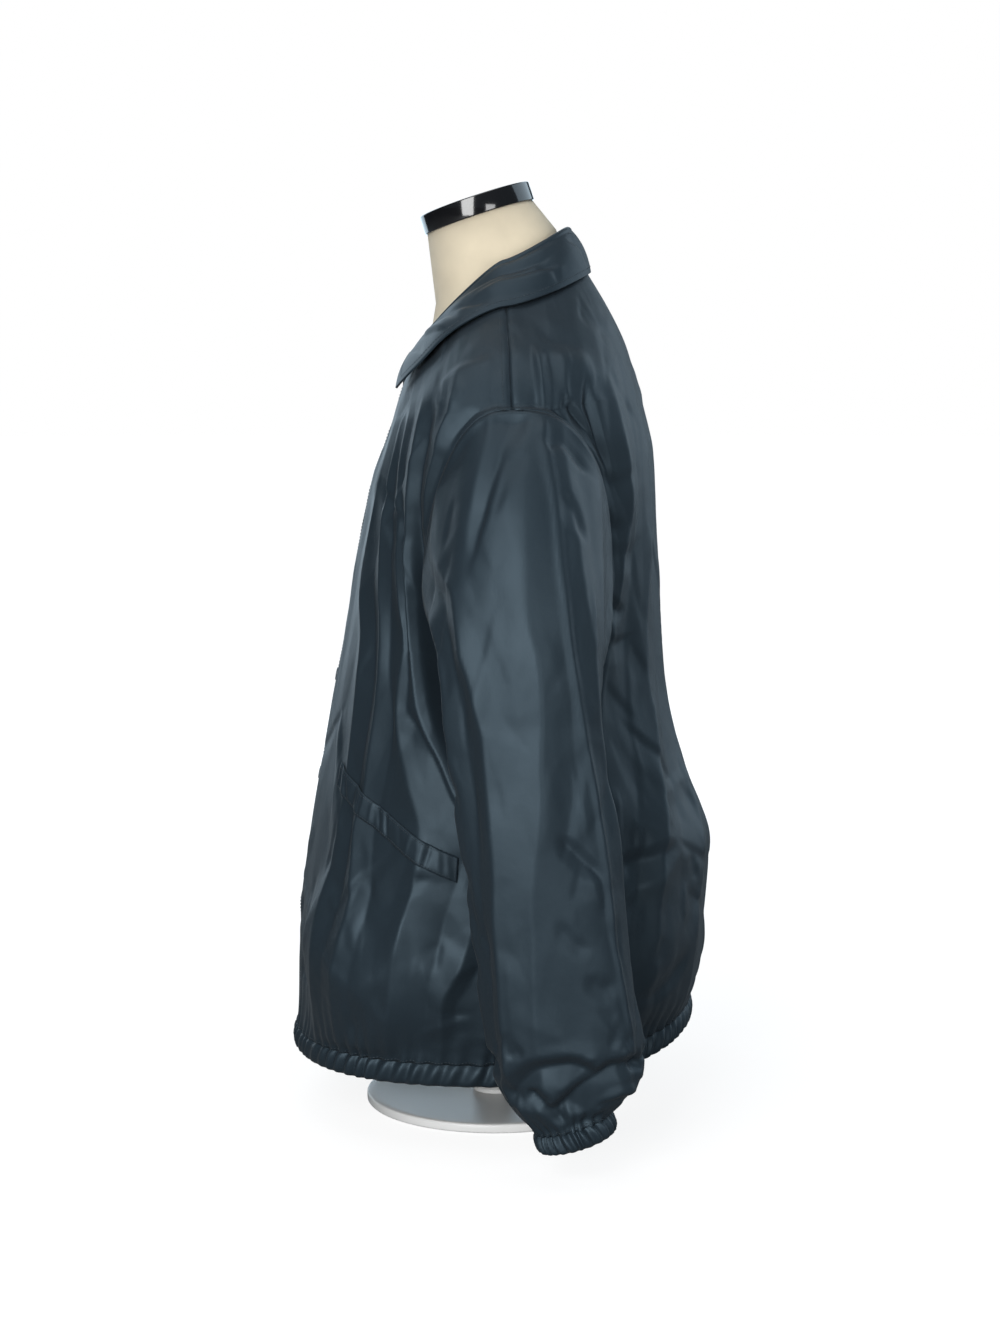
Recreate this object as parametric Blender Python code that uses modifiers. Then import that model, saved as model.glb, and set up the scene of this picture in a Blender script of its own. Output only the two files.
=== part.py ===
"""A nylon coach jacket worn by a limbless dress form on a low stand.

Metres, +Z up. The origin is on the floor under the base, the front faces -Y
and the wearer's left is +X. The cloth is lofted through rings: the body from
the hem to the neck, each sleeve from its armhole to the cuff.
"""
import math
from collections import namedtuple

import bpy
import numpy as np

for leftover in list(bpy.data.objects):
    bpy.data.objects.remove(leftover, do_unlink=True)

# Cloth and clearances
WALL = 0.0013             # nylon panel
BAND_WALL = 0.0016        # doubled cloth of collar, casings and welts
SEAM = 0.0003             # gap between pieces that are sewn together
ARMHOLE_GAP = 0.0006      # the same along the curved armhole
SEAM_EASE = 1.4           # more gap at the side seams, where the ring is square
SEAT = 0.0007             # cloth to the form's shoulders
NORMAL_STEP = 1e-3        # parameter step for surface normals
ANGLE_SCALE = 100.0       # degrees in one parameter step of the body
CROWN_DROP = 0.12         # how far under a ring its outward directions start

# Grid sizes
FRONT_COLUMNS = 14
BACK_COLUMNS = 24
HEM_TO_UNDERARM_ROWS = 10
SHOULDER_ROWS = 6
SLEEVE_CAP_ROWS = 7
SLEEVE_LOWER_ROWS = 14
COLLAR_COLUMNS = 30

# Body rings from hem to neck: heights at front, side and back, reach to each side,
# how square the ring is and how sharply its heights turn at the side
Ring = namedtuple("Ring", "v z_front z_side z_back half_width y_front y_side y_back square turn",
                  defaults=(2.25, 2.0))
BODY_RINGS = [
    Ring(0.00, 0.0825, 0.0855, 0.1105, 0.198, -0.1985, 0.000, 0.1950),
    Ring(0.05, 0.1180, 0.1200, 0.1400, 0.210, -0.1965, 0.004, 0.2065),
    Ring(0.15, 0.1950, 0.1980, 0.2050, 0.217, -0.1940, 0.008, 0.2105),
    Ring(0.26, 0.2850, 0.2830, 0.2650, 0.218, -0.1830, 0.010, 0.2140),
    Ring(0.38, 0.3750, 0.3700, 0.3450, 0.215, -0.1675, 0.012, 0.1880),
    Ring(0.47, 0.4450, 0.4360, 0.4220, 0.211, -0.1550, 0.014, 0.1690),
    Ring(0.52, 0.4820, 0.4720, 0.4650, 0.209, -0.1480, 0.016, 0.1645),
    Ring(0.62, 0.5600, 0.5450, 0.5500, 0.216, -0.1340, 0.018, 0.1600),
    Ring(0.74, 0.6320, 0.6400, 0.6550, 0.235, -0.1185, 0.018, 0.1540, 2.30),
    Ring(0.78, 0.6560, 0.6700, 0.6890, 0.242, -0.1110, 0.017, 0.1470, 2.30, 1.95),
    Ring(0.82, 0.6800, 0.6990, 0.7220, 0.240, -0.1030, 0.016, 0.1385, 2.30, 1.9),
    Ring(0.845, 0.6910, 0.7190, 0.7390, 0.228, -0.0995, 0.015, 0.1340, 2.30, 1.8),
    Ring(0.87, 0.7020, 0.7380, 0.7560, 0.207, -0.0960, 0.014, 0.1290, 2.30, 1.7),
    Ring(0.93, 0.7220, 0.7720, 0.7960, 0.153, -0.0895, 0.012, 0.1100, 2.30, 1.5),
    Ring(1.00, 0.7450, 0.8130, 0.8420, 0.078, -0.0800, 0.010, 0.0830, 2.25, 1.3),
]
UNDERARM_V, SHOULDER_TIP_V = 0.52, 0.82
ARMHOLE_FRONT, ARMHOLE_BACK = 30.0, 36.0     # widest bite out of the ring, degrees
ARMHOLE_WIDEST = 0.33     # share of the armhole's height where the bite is widest
ARMHOLE_CROWN = 0.8       # under 1 makes the top of the armhole rounder
ARMHOLE_LOW_ROWS, ARMHOLE_HIGH_ROWS = 5, 7
ARMHOLE_ROWS = ARMHOLE_LOW_ROWS + ARMHOLE_HIGH_ROWS

# Centre front: the left lies on the right
OVERLAP = 6.0             # degrees that the left passes the centre
UNDERLAP = 4.0            # degrees that the right passes under it
TUCK = 0.0022             # how far the right lies under the left
TUCK_FADE = 14.0          # degrees over which the tuck fades out

# Panel edges: angle of the seam, the armhole's bite into it, and which way its seam gap goes
Edge = namedtuple("Edge", "seam bite gap")
LEFT_FRONT = (Edge(-OVERLAP, 0.0, 0), Edge(90.0, -ARMHOLE_FRONT, -1))
RIGHT_FRONT = (Edge(-90.0, ARMHOLE_FRONT, 1), Edge(UNDERLAP, 0.0, 0))
BACK = (Edge(90.0, ARMHOLE_BACK, 1), Edge(270.0, -ARMHOLE_BACK, -1))
COLUMN_BEND = 2.4         # how closely rows and columns follow the bite

# Folds on the body: from (angle, v) to (angle, v), height and half width
FOLD_FADE = 0.10          # share of the height over which a fold fades out at its ends
BODY_DEPTH = 0.17         # mean half depth of the body, for the length of a degree
Fold = namedtuple("Fold", "angle_low v_low angle_high v_high height width")
BODY_FOLDS = [
    Fold(49, 0.12, 47, 0.25, 0.0065, 0.025),
    Fold(62, 0.13, 60, 0.24, -0.0054, 0.022),
    Fold(84, 0.05, 74, 0.15, -0.0070, 0.024),
    Fold(22, 0.05, 18, 0.24, -0.0053, 0.025),
    Fold(34, 0.38, 15, 0.64, 0.0059, 0.024),
    Fold(50, 0.45, 35, 0.69, -0.0082, 0.024),
    Fold(76, 0.36, 48, 0.64, 0.0094, 0.024),
    Fold(78, 0.34, 57, 0.47, -0.0082, 0.025),
    Fold(57, 0.63, 54, 0.84, -0.0094, 0.022),
    Fold(42, 0.66, 38, 0.83, 0.0053, 0.024),
    Fold(132, 0.25, 158, 0.46, 0.0082, 0.025),
    Fold(126, 0.12, 133, 0.25, -0.0070, 0.025),
    Fold(146, 0.05, 150, 0.24, 0.0059, 0.027),
    Fold(168, 0.06, 171, 0.30, -0.0059, 0.028),
    Fold(131, 0.47, 144, 0.67, 0.0070, 0.024),
    Fold(152, 0.52, 153, 0.77, -0.0076, 0.027),
    Fold(172, 0.40, 168, 0.70, 0.0047, 0.028),
]

# Sleeve rings from the underarm level to the cuff seam
Tube = namedtuple("Tube", "t x_mid y_mid z_mid half_x half_y lean")
SLEEVE_RINGS = [
    Tube(0.36, 0.2800, 0.0270, 0.4250, 0.0500, 0.0700, 0.0),
    Tube(0.40, 0.2805, 0.0290, 0.4000, 0.0510, 0.0690, 0.0),
    Tube(0.53, 0.2820, 0.0400, 0.3150, 0.0520, 0.0695, 0.0),
    Tube(0.66, 0.2815, 0.0500, 0.2320, 0.0520, 0.0685, 0.0),
    Tube(0.80, 0.2800, 0.0620, 0.1380, 0.0520, 0.0690, 0.001),
    Tube(0.87, 0.2790, 0.0655, 0.1050, 0.0500, 0.0660, 0.003),
    Tube(0.93, 0.2770, 0.0680, 0.0790, 0.0430, 0.0540, 0.006),
    Tube(1.00, 0.2750, 0.0710, 0.0550, 0.0335, 0.0335, 0.010),
]
CAP_END_T = SLEEVE_RINGS[0].t
CAP_OUT_TOP, CAP_OUT_UNDER = 1.35, 0.75      # outward slope where the sleeve leaves
CAP_PULL_START, CAP_PULL_END = 1.05, 0.85    # how long the two tangents act
SLEEVE_RADIUS = 0.062     # mean radius, for the length of a degree
SLEEVE_FOLDS = [
    Fold(4, 0.03, 40, 0.20, -0.0100, 0.018),
    Fold(30, 0.02, 66, 0.16, 0.0070, 0.019),
    Fold(-16, 0.03, -31, 0.20, 0.0070, 0.018),
    Fold(-31, 0.20, -52, 0.42, 0.0070, 0.018),
    Fold(-52, 0.42, -60, 0.80, 0.0065, 0.018),
    Fold(-58, 0.05, -70, 0.34, -0.0094, 0.020),
    Fold(54, 0.18, 36, 0.44, 0.0053, 0.020),
    Fold(36, 0.44, 46, 0.82, 0.0053, 0.020),
    Fold(-20, 0.44, -24, 0.80, -0.0047, 0.020),
    Fold(-15, 0.51, -46, 0.57, -0.0053, 0.018),
    Fold(120, 0.30, 128, 0.62, -0.0070, 0.022),
    Fold(-130, 0.34, -124, 0.70, -0.0065, 0.022),
    Fold(44, 0.87, 4, 0.83, -0.0065, 0.018),
    Fold(10, 0.92, -60, 0.85, -0.0076, 0.018),
]

# Gathered casings
HEM_TALL, HEM_GATHERS, HEM_WAVE, HEM_BULGE = 0.020, 84, 0.0016, 0.0015
CUFF_TALL, CUFF_GATHERS, CUFF_WAVE, CUFF_BULGE = 0.017, 26, 0.0013, 0.0012
GATHER_SLANT = 0.5        # waves that a gather leans over the casing's height
HEM_OPENING = 0.4         # degrees between the casing's ends at the centre front

# Collar: fold line ring, then how the fall lies on the body
COLLAR_FOLD = Ring(0, 0.7580, 0.8385, 0.8735, 0.0745, -0.0765, 0.008, 0.0715, 2.25, 1.1)
COLLAR_FOLD_RADIUS = 0.0026
COLLAR_BULGE = 0.0035     # how far the fall stands out half way down
COLLAR_END = 2.5          # degrees from the centre front
COLLAR_SPREAD = 22.0      # degrees that the points stand off the centre
Fall = namedtuple("Fall", "angle v lift")
COLLAR_FALL = [
    Fall(0, 0.885, 0.0085),
    Fall(45, 0.938, 0.0070),
    Fall(90, 0.962, 0.0042),
    Fall(180, 0.982, 0.0026),
]

# Slanted pocket welt: angle and v of its upper front and lower back ends
WELT_FROM, WELT_TO = (31.0, 0.350), (79.0, 0.250)
WELT_HALF_WIDE_V, WELT_SEGMENTS = 0.0155, 14
WELT_GAP, WELT_END_GAP = 0.0018, 0.0004      # gap to the front, and at the sewn ends

# Snap caps down the centre front
SNAP_ROWS_V = [0.955, 0.745, 0.595, 0.455, 0.325, 0.195]
SNAP_RADIUS, SNAP_TALL, SNAP_LIFT = 0.0065, 0.0022, 0.0006

# Dress form
FORM_LOWER_RINGS = [
    Ring(0.00, 0.150, 0.150, 0.150, 0.146, -0.104, 0.012, 0.122),
    Ring(0.10, 0.172, 0.172, 0.172, 0.160, -0.114, 0.012, 0.136),
    Ring(0.30, 0.330, 0.330, 0.330, 0.147, -0.102, 0.012, 0.118),
    Ring(0.60, 0.520, 0.520, 0.520, 0.178, -0.116, 0.015, 0.140),
    Ring(0.85, 0.632, 0.632, 0.632, 0.192, -0.106, 0.016, 0.144),
    Ring(1.00, 0.672, 0.690, 0.706, 0.200, -0.0965, 0.015, 0.133),
]
FORM_LOWER_ROWS = 7
FORM_SHOULDER_ROWS = 5    # top rows of the panels that the shoulders carry
FORM_EASE = 0.0045        # more room under the cloth at front and back
FORM_CLOSE = 2.0          # degrees between its last column and its first, at the least
FORM_NECK_RINGS = [
    Ring(0.0, 0.7640, 0.8270, 0.8540, 0.0640, -0.0640, 0.006, 0.0660),
    Ring(1.0, 0.8000, 0.8420, 0.8720, 0.0585, -0.0580, 0.001, 0.0600),
]
NECK_TOP_RADIUS = 0.0540
CAP_TILT = math.radians(18.0)
CAP_CENTRE = (0.0, -0.0147, 0.8836)
CAP_RADIUS, CAP_TALL, CAP_DOME = 0.0560, 0.0185, 0.0030
CAP_EDGE = 0.003          # rounding of the cap's upper rim
POLE_RADIUS, POLE_COLLAR = 0.013, 0.010
BASE_RADIUS, BASE_TALL, BASE_EDGE = 0.130, 0.009, 0.006
CAP_SEGMENTS, POLE_SEGMENTS, BASE_SEGMENTS = 28, 20, 36


# Interpolation

def smooth(stations, values, place):
    """Monotone cubic through (stations, values), without overshoot."""
    xs = np.asarray(stations, float)
    ys = np.asarray(values, float)
    gaps = np.diff(xs)
    rises = np.diff(ys) / gaps
    slopes = np.zeros(len(xs))
    for i in range(1, len(xs) - 1):
        if rises[i - 1] * rises[i] > 0:
            w1 = 2 * gaps[i] + gaps[i - 1]
            w2 = gaps[i] + 2 * gaps[i - 1]
            slopes[i] = (w1 + w2) / (w1 / rises[i - 1] + w2 / rises[i])
    slopes[0], slopes[-1] = rises[0], rises[-1]
    place = min(max(place, xs[0]), xs[-1])
    i = min(int(np.searchsorted(xs, place, side="right")) - 1, len(gaps) - 1)
    h = (place - xs[i]) / gaps[i]
    h00 = (1 + 2 * h) * (1 - h) ** 2
    h10 = h * (1 - h) ** 2
    h01 = h * h * (3 - 2 * h)
    h11 = h * h * (h - 1)
    return (h00 * ys[i] + h10 * gaps[i] * slopes[i]
            + h01 * ys[i + 1] + h11 * gaps[i] * slopes[i + 1])


def row_at(table, place):
    """The table's row at a place along its first column."""
    stations = [row[0] for row in table]
    kind = type(table[0])
    return kind(*(smooth(stations, [row[i] for row in table], place)
                  for i in range(len(table[0]))))


def ease(x):
    """Smooth step from 0 to 1."""
    x = min(max(x, 0.0), 1.0)
    return x * x * (3 - 2 * x)


# Body surface

def ring_point(ring, angle):
    """Point of a ring: angle 0 is the front, 90 the wearer's left."""
    sine, cosine = math.sin(math.radians(angle)), math.cos(math.radians(angle))
    power = 2.0 / ring.square
    x = ring.half_width * math.copysign(abs(sine) ** power, sine)
    y_end, z_end = (ring.y_front, ring.z_front) if cosine > 0 else (ring.y_back, ring.z_back)
    y = ring.y_side + (y_end - ring.y_side) * abs(cosine) ** power
    z = ring.z_side + (z_end - ring.z_side) * abs(cosine) ** ring.turn
    return np.array([x, y, z])


def fold_height(folds, angle, place, reach):
    """Height of all folds at an angle and a place; reach is metres per degree."""
    total = 0.0
    for fold in folds:
        low, high = sorted((fold.v_low, fold.v_high))
        along = (place - fold.v_low) / (fold.v_high - fold.v_low)
        middle = fold.angle_low + (fold.angle_high - fold.angle_low) * along
        fade = ease((place - low) / FOLD_FADE + 0.5) * ease((high - place) / FOLD_FADE + 0.5)
        across = (angle - middle) * reach / fold.width
        total += fold.height * fade * math.exp(-across * across)
    return total


def unit(vector):
    """Vector of length one."""
    return vector / np.linalg.norm(vector)


def normal_of(surface, a, b, outward):
    """Unit normal of surface(a, b), on the side of the outward point."""
    da = surface(a + NORMAL_STEP, b) - surface(a - NORMAL_STEP, b)
    db = surface(a, b + NORMAL_STEP) - surface(a, b - NORMAL_STEP)
    normal = unit(np.cross(da, db))
    return normal if normal @ outward > 0 else -normal


def body_ring(v):
    """Body ring at v, carried on past both ends for normals."""
    if v > 1.0 or v < 0.0:
        end, inside = (1.0, 0.98) if v > 1.0 else (0.0, 0.02)
        share = (v - end) / (inside - end)
        return Ring(*(p + (q - p) * share
                      for p, q in zip(row_at(BODY_RINGS, end), row_at(BODY_RINGS, inside))))
    return row_at(BODY_RINGS, v)


def body_plain(angle_step, v):
    """Body surface without folds, with the angle in parameter steps."""
    return ring_point(body_ring(v), angle_step * ANGLE_SCALE)


def body_normal(angle, v):
    """Outward normal of the plain body."""
    ring = body_ring(min(v, 1.0))
    point = ring_point(ring, angle)
    outward = point - np.array([0.0, ring.y_side, ring.z_side - CROWN_DROP])
    return normal_of(body_plain, angle / ANGLE_SCALE, v, outward)


def body_point(angle, v, lift=0.0):
    """Outer cloth of the body with its folds, moved out by lift."""
    ring = body_ring(v)
    reach = math.radians(1.0) * 0.5 * (ring.half_width + BODY_DEPTH)
    side = (angle + 180.0) % 360.0 - 180.0
    height = fold_height(BODY_FOLDS, abs(side), v, reach)
    return ring_point(ring, angle) + body_normal(angle, v) * (height + lift)


def armhole_bite(v):
    """Share of the widest bite that the armhole takes out of the ring at v."""
    share = (v - UNDERARM_V) / (SHOULDER_TIP_V - UNDERARM_V)
    if share <= 0.0 or share >= 1.0:
        return 0.0
    if share < ARMHOLE_WIDEST:
        return math.sqrt(1.0 - (1.0 - share / ARMHOLE_WIDEST) ** 2)
    rise = (share - ARMHOLE_WIDEST) / (1.0 - ARMHOLE_WIDEST)
    return (1.0 - rise * rise) ** (0.5 * ARMHOLE_CROWN)


def armhole_rows():
    """Places of the rows from the underarm to the shoulder tip, in even turns."""
    low = [ARMHOLE_WIDEST * (1.0 - math.cos(0.5 * math.pi * k / ARMHOLE_LOW_ROWS))
           for k in range(ARMHOLE_LOW_ROWS)]
    high = [ARMHOLE_WIDEST + (1.0 - ARMHOLE_WIDEST) * math.sin(0.5 * math.pi * k / ARMHOLE_HIGH_ROWS)
            for k in range(ARMHOLE_HIGH_ROWS + 1)]
    return [UNDERARM_V + (SHOULDER_TIP_V - UNDERARM_V) * share for share in low + high]


def panel_rows():
    """Places of the panel rows at the armhole and in the middle of the panel."""
    low = np.linspace(0.0, UNDERARM_V, HEM_TO_UNDERARM_ROWS + 1)
    even = np.linspace(UNDERARM_V, SHOULDER_TIP_V, ARMHOLE_ROWS + 1)
    top = np.linspace(SHOULDER_TIP_V, 1.0, SHOULDER_ROWS + 1)
    return [list(low[:-1]) + list(rows) + list(top[1:]) for rows in (armhole_rows(), even)]


# Meshes

COLLECTION = bpy.data.collections.new("nylon_jacket")
bpy.context.scene.collection.children.link(COLLECTION)


def finish(name, colour, roughness, metallic=0.0):
    """A Principled material."""
    material = bpy.data.materials.new(name)
    material.use_nodes = True
    shader = material.node_tree.nodes["Principled BSDF"]
    shader.inputs["Base Color"].default_value = (*colour, 1.0)
    shader.inputs["Roughness"].default_value = roughness
    shader.inputs["Metallic"].default_value = metallic
    return material


NYLON = finish("navy_nylon", (0.021, 0.032, 0.042), 0.45)
SNAP_METAL = finish("navy_snap", (0.018, 0.026, 0.034), 0.35)
LINEN = finish("cream_linen", (0.70, 0.62, 0.50), 0.9)
CAP_GLOSS = finish("black_gloss", (0.008, 0.008, 0.009), 0.12)
STAND_WHITE = finish("white_paint", (0.80, 0.80, 0.79), 0.4)


def add_object(name, points, faces, material):
    """One named mesh object in the jacket's collection, shaded smooth."""
    mesh = bpy.data.meshes.new(name)
    mesh.from_pydata([tuple(p) for p in points], [], faces)
    mesh.shade_smooth()
    mesh.materials.append(material)
    thing = bpy.data.objects.new(name, mesh)
    COLLECTION.objects.link(thing)
    return thing


def first_diagonal(a, b, c, d):
    """Whether a quad's diagonal from a to c is its shorter one."""
    return np.linalg.norm(c - a) <= np.linalg.norm(d - b)


def wall(name, outer, inner, closed, material):
    """Closed cloth wall between two grids of rows; closed rows join end to start."""
    rows, columns = len(outer), len(outer[0])
    points = [p for row in outer for p in row] + [p for row in inner for p in row]
    shift = rows * columns
    spans = columns if closed else columns - 1
    faces = []
    for r in range(rows - 1):
        for c in range(spans):
            d = (c + 1) % columns
            quad = (r * columns + c, r * columns + d, (r + 1) * columns + d, (r + 1) * columns + c)
            start = 0 if first_diagonal(*(points[i] for i in quad)) else 1
            for corners in ((0, 1, 2), (0, 2, 3)):
                triangle = [quad[(start + corner) % 4] for corner in corners]
                faces.append(tuple(triangle))
                faces.append(tuple(i + shift for i in reversed(triangle)))
    for r, flip in ((0, False), (rows - 1, True)):
        for c in range(spans):
            a, b = r * columns + c, r * columns + (c + 1) % columns
            rim = (b, a, a + shift, b + shift)
            faces.append(tuple(reversed(rim)) if flip else rim)
    if not closed:
        for c, flip in ((0, True), (columns - 1, False)):
            for r in range(rows - 1):
                a, b = r * columns + c, (r + 1) * columns + c
                rim = (b, a, a + shift, b + shift)
                faces.append(tuple(reversed(rim)) if flip else rim)
    return add_object(name, points, faces, material)


# Body panels

def seam_angle(v):
    """Half a seam gap at v, in degrees of the ring."""
    ring = body_ring(v)
    return math.degrees(SEAM / (ring.y_back - ring.y_front)) * SEAM_EASE


def panel_place(edges, v_edge, v_middle, share):
    """Angle and v of a panel point; rows and columns bend with the armhole's bite."""
    first, last = edges
    angle = first.seam + (last.seam - first.seam) * share
    v = v_middle
    for edge, near in ((first, 1.0 - share), (last, share)):
        bend = near ** COLUMN_BEND
        angle += bend * (edge.bite * armhole_bite(v_edge) + edge.gap * seam_angle(v_edge))
        if edge.bite:
            v += bend * (v_edge - v_middle)
    return angle, v


def panel(name, edges, columns, tuck=None):
    """Body panel between two edges; returns its outer grid."""
    outer, inner = [], []
    edge_places, middle_places = panel_rows()
    for places in (edge_places, middle_places):
        places[0] += SEAM
        places[-1] -= SEAM
    for v_edge, v_middle in zip(edge_places, middle_places):
        out_row, in_row = [], []
        for c in range(columns + 1):
            angle, v = panel_place(edges, v_edge, v_middle, c / columns)
            inset = tuck(angle) if tuck else 0.0
            point = body_point(angle, v, -inset)
            out_row.append(point)
            in_row.append(point - body_normal(angle, v) * WALL)
        outer.append(out_row)
        inner.append(in_row)
    wall(name, outer, inner, False, NYLON)
    return outer


def right_tuck(angle):
    """How far the right front lies under the left at an angle."""
    return TUCK * ease((angle + OVERLAP + TUCK_FADE) / TUCK_FADE)


def build_body():
    """Two fronts and the back; returns the outer grids of the fronts."""
    left = panel("front_left", LEFT_FRONT, FRONT_COLUMNS)
    right = panel("front_right", RIGHT_FRONT, FRONT_COLUMNS, right_tuck)
    panel("back", BACK, BACK_COLUMNS)
    return left, right


# Sleeves

def armhole_point(step, side):
    """Point of the armhole loop: step 0 at the shoulder tip, running down the front."""
    step = step % (2 * ARMHOLE_ROWS)
    down = step if step <= ARMHOLE_ROWS else 2 * ARMHOLE_ROWS - step
    v = armhole_rows()[ARMHOLE_ROWS - down]
    bite = -ARMHOLE_FRONT if step <= ARMHOLE_ROWS else ARMHOLE_BACK
    return body_point(side * (90.0 + bite * armhole_bite(v)), v)


def tube_point(t, angle, side):
    """Sleeve ring point below the cap: angle 0 is outward, 90 the front."""
    tube = row_at(SLEEVE_RINGS, t)
    cosine, sine = math.cos(math.radians(angle)), math.sin(math.radians(angle))
    return np.array([side * (tube.x_mid + tube.half_x * cosine),
                     tube.y_mid - tube.half_y * sine,
                     tube.z_mid - tube.lean * sine])


def sleeve_plain(t, step, side):
    """Sleeve surface without folds; step counts the armhole's points."""
    angle = 180.0 * step / ARMHOLE_ROWS
    if t >= CAP_END_T:
        return tube_point(t, angle, side)
    start = armhole_point(step, side)
    end = tube_point(CAP_END_T, angle, side)
    top = 0.5 + 0.5 * math.cos(math.radians(angle))
    out = CAP_OUT_UNDER + (CAP_OUT_TOP - CAP_OUT_UNDER) * top
    chord = np.linalg.norm(end - start)
    leave = unit(np.array([side * out, 0.0, -1.0])) * chord * CAP_PULL_START
    arrive = np.array([0.0, 0.0, -1.0]) * chord * CAP_PULL_END
    h = t / CAP_END_T
    return ((1 + 2 * h) * (1 - h) ** 2 * start + h * (1 - h) ** 2 * leave
            + h * h * (3 - 2 * h) * end + h * h * (h - 1) * arrive)


def sleeve_point(t, step, side):
    """Outer sleeve cloth with its folds, and its outward normal."""
    whole = int(round(step))
    point = sleeve_plain(t, whole, side)
    across = sleeve_plain(t, whole + 1, side) - sleeve_plain(t, whole - 1, side)
    low_t, high_t = max(t - NORMAL_STEP, 0.0), min(t + NORMAL_STEP, 1.0)
    along = sleeve_plain(high_t, whole, side) - sleeve_plain(low_t, whole, side)
    normal = unit(np.cross(across, along)) * side
    angle = (180.0 * whole / ARMHOLE_ROWS + 180.0) % 360.0 - 180.0
    height = fold_height(SLEEVE_FOLDS, angle, t, math.radians(1.0) * SLEEVE_RADIUS)
    return point + normal * height, normal


def seam_place(step):
    """Place along the sleeve, one seam gap away from the armhole."""
    angle = 180.0 * step / ARMHOLE_ROWS
    chord = np.linalg.norm(tube_point(CAP_END_T, angle, 1.0) - armhole_point(step, 1.0))
    return CAP_END_T * ARMHOLE_GAP / (chord * CAP_PULL_START)


def build_sleeve(name, side):
    """One sleeve tube from its armhole to the cuff seam."""
    cap = list(np.linspace(0.0, CAP_END_T, SLEEVE_CAP_ROWS + 1))
    lower = list(np.linspace(CAP_END_T, 1.0, SLEEVE_LOWER_ROWS + 1))[1:]
    places = cap + lower
    steps = range(2 * ARMHOLE_ROWS)
    outer, inner = [], []
    for t in reversed(places):
        pairs = [sleeve_point(max(t, seam_place(step)), step, side) for step in steps]
        if side > 0:
            pairs = pairs[::-1]
        outer.append([p for p, n in pairs])
        inner.append([p - n * WALL for p, n in pairs])
    wall(name, outer, inner, True, NYLON)


# Gathered casings

def build_hem_casing():
    """Gathered channel round the hem, open at the centre front."""
    columns = HEM_GATHERS * 2
    first, last = -OVERLAP, 360.0 - OVERLAP - HEM_OPENING
    outer, inner = [], []
    for share in (-1.0, -0.5, 0.0):
        out_row, in_row = [], []
        for c in range(columns + 1):
            lean = GATHER_SLANT * share * (last - first) / HEM_GATHERS
            at_end = c in (0, columns)
            angle = first + (last - first) * c / columns + (0.0 if at_end else lean)
            angle = min(max(angle, first), last)
            wave = HEM_WAVE * (1 if c % 2 else -1)
            normal = body_normal(angle, 0.0)
            level = unit(np.array([normal[0], normal[1], 0.0]))
            bulge = HEM_BULGE * (1 - (2 * share + 1) ** 2)
            point = ring_point(body_ring(0.0), angle) + level * (wave + bulge)
            point[2] += share * HEM_TALL - SEAM
            out_row.append(point)
            in_row.append(point - level * BAND_WALL)
        outer.append(out_row)
        inner.append(in_row)
    wall("hem_casing", outer, inner, False, NYLON)


def build_cuff(name, side):
    """Gathered channel at the wrist, on the tilted ring of the cuff seam."""
    columns = CUFF_GATHERS * 2
    tube = SLEEVE_RINGS[-1]
    tilt = math.atan2(tube.lean, tube.half_y)
    down = np.array([0.0, math.sin(tilt), -math.cos(tilt)])
    centre = np.array([side * tube.x_mid, tube.y_mid, tube.z_mid])
    outer, inner = [], []
    for share in (1.0, 0.5, 0.0):
        out_row, in_row = [], []
        for c in range(columns):
            angle = side * -360.0 * (c / columns + GATHER_SLANT * share / CUFF_GATHERS)
            point = tube_point(1.0, angle, side)
            level = unit(point - centre)
            wave = CUFF_WAVE * (1 if c % 2 else -1)
            bulge = CUFF_BULGE * (1 - (2 * share - 1) ** 2)
            point = point + level * (wave + bulge) + down * (share * CUFF_TALL + 2 * SEAM)
            out_row.append(point)
            in_row.append(point - level * BAND_WALL)
        outer.append(out_row)
        inner.append(in_row)
    wall(name, outer, inner, True, NYLON)


# Collar

def collar_section(angle):
    """Centre line of the collar at an angle: up the stand, over, down the fall."""
    side = (angle + 180.0) % 360.0 - 180.0
    sign = 1.0 if side >= 0 else -1.0
    turn = abs(side)
    base = ring_point(body_ring(1.0), angle) + np.array([0.0, 0.0, 4 * SEAM])
    fold = ring_point(COLLAR_FOLD, angle)
    away = unit(np.array([fold[0], fold[1] - COLLAR_FOLD.y_side, 0.0]))
    front = ease(1.0 - turn / 90.0)
    spread = sign * (turn + COLLAR_SPREAD * front)
    fall_v = smooth([f.angle for f in COLLAR_FALL], [f.v for f in COLLAR_FALL], turn)
    lift = smooth([f.angle for f in COLLAR_FALL], [f.lift for f in COLLAR_FALL], turn)
    edge = ring_point(body_ring(fall_v), spread) + body_normal(spread, fall_v) * lift
    up = np.array([0.0, 0.0, 1.0])
    stand_top = fold - away * COLLAR_FOLD_RADIUS - up * COLLAR_FOLD_RADIUS
    fall_top = fold + away * COLLAR_FOLD_RADIUS - up * COLLAR_FOLD_RADIUS
    stand_mid = 0.5 * (base + stand_top)
    fall_mid = 0.5 * (fall_top + edge) + (away + up) * COLLAR_BULGE
    return [base, stand_mid, stand_top, fold, fall_top, fall_mid, edge]


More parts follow.
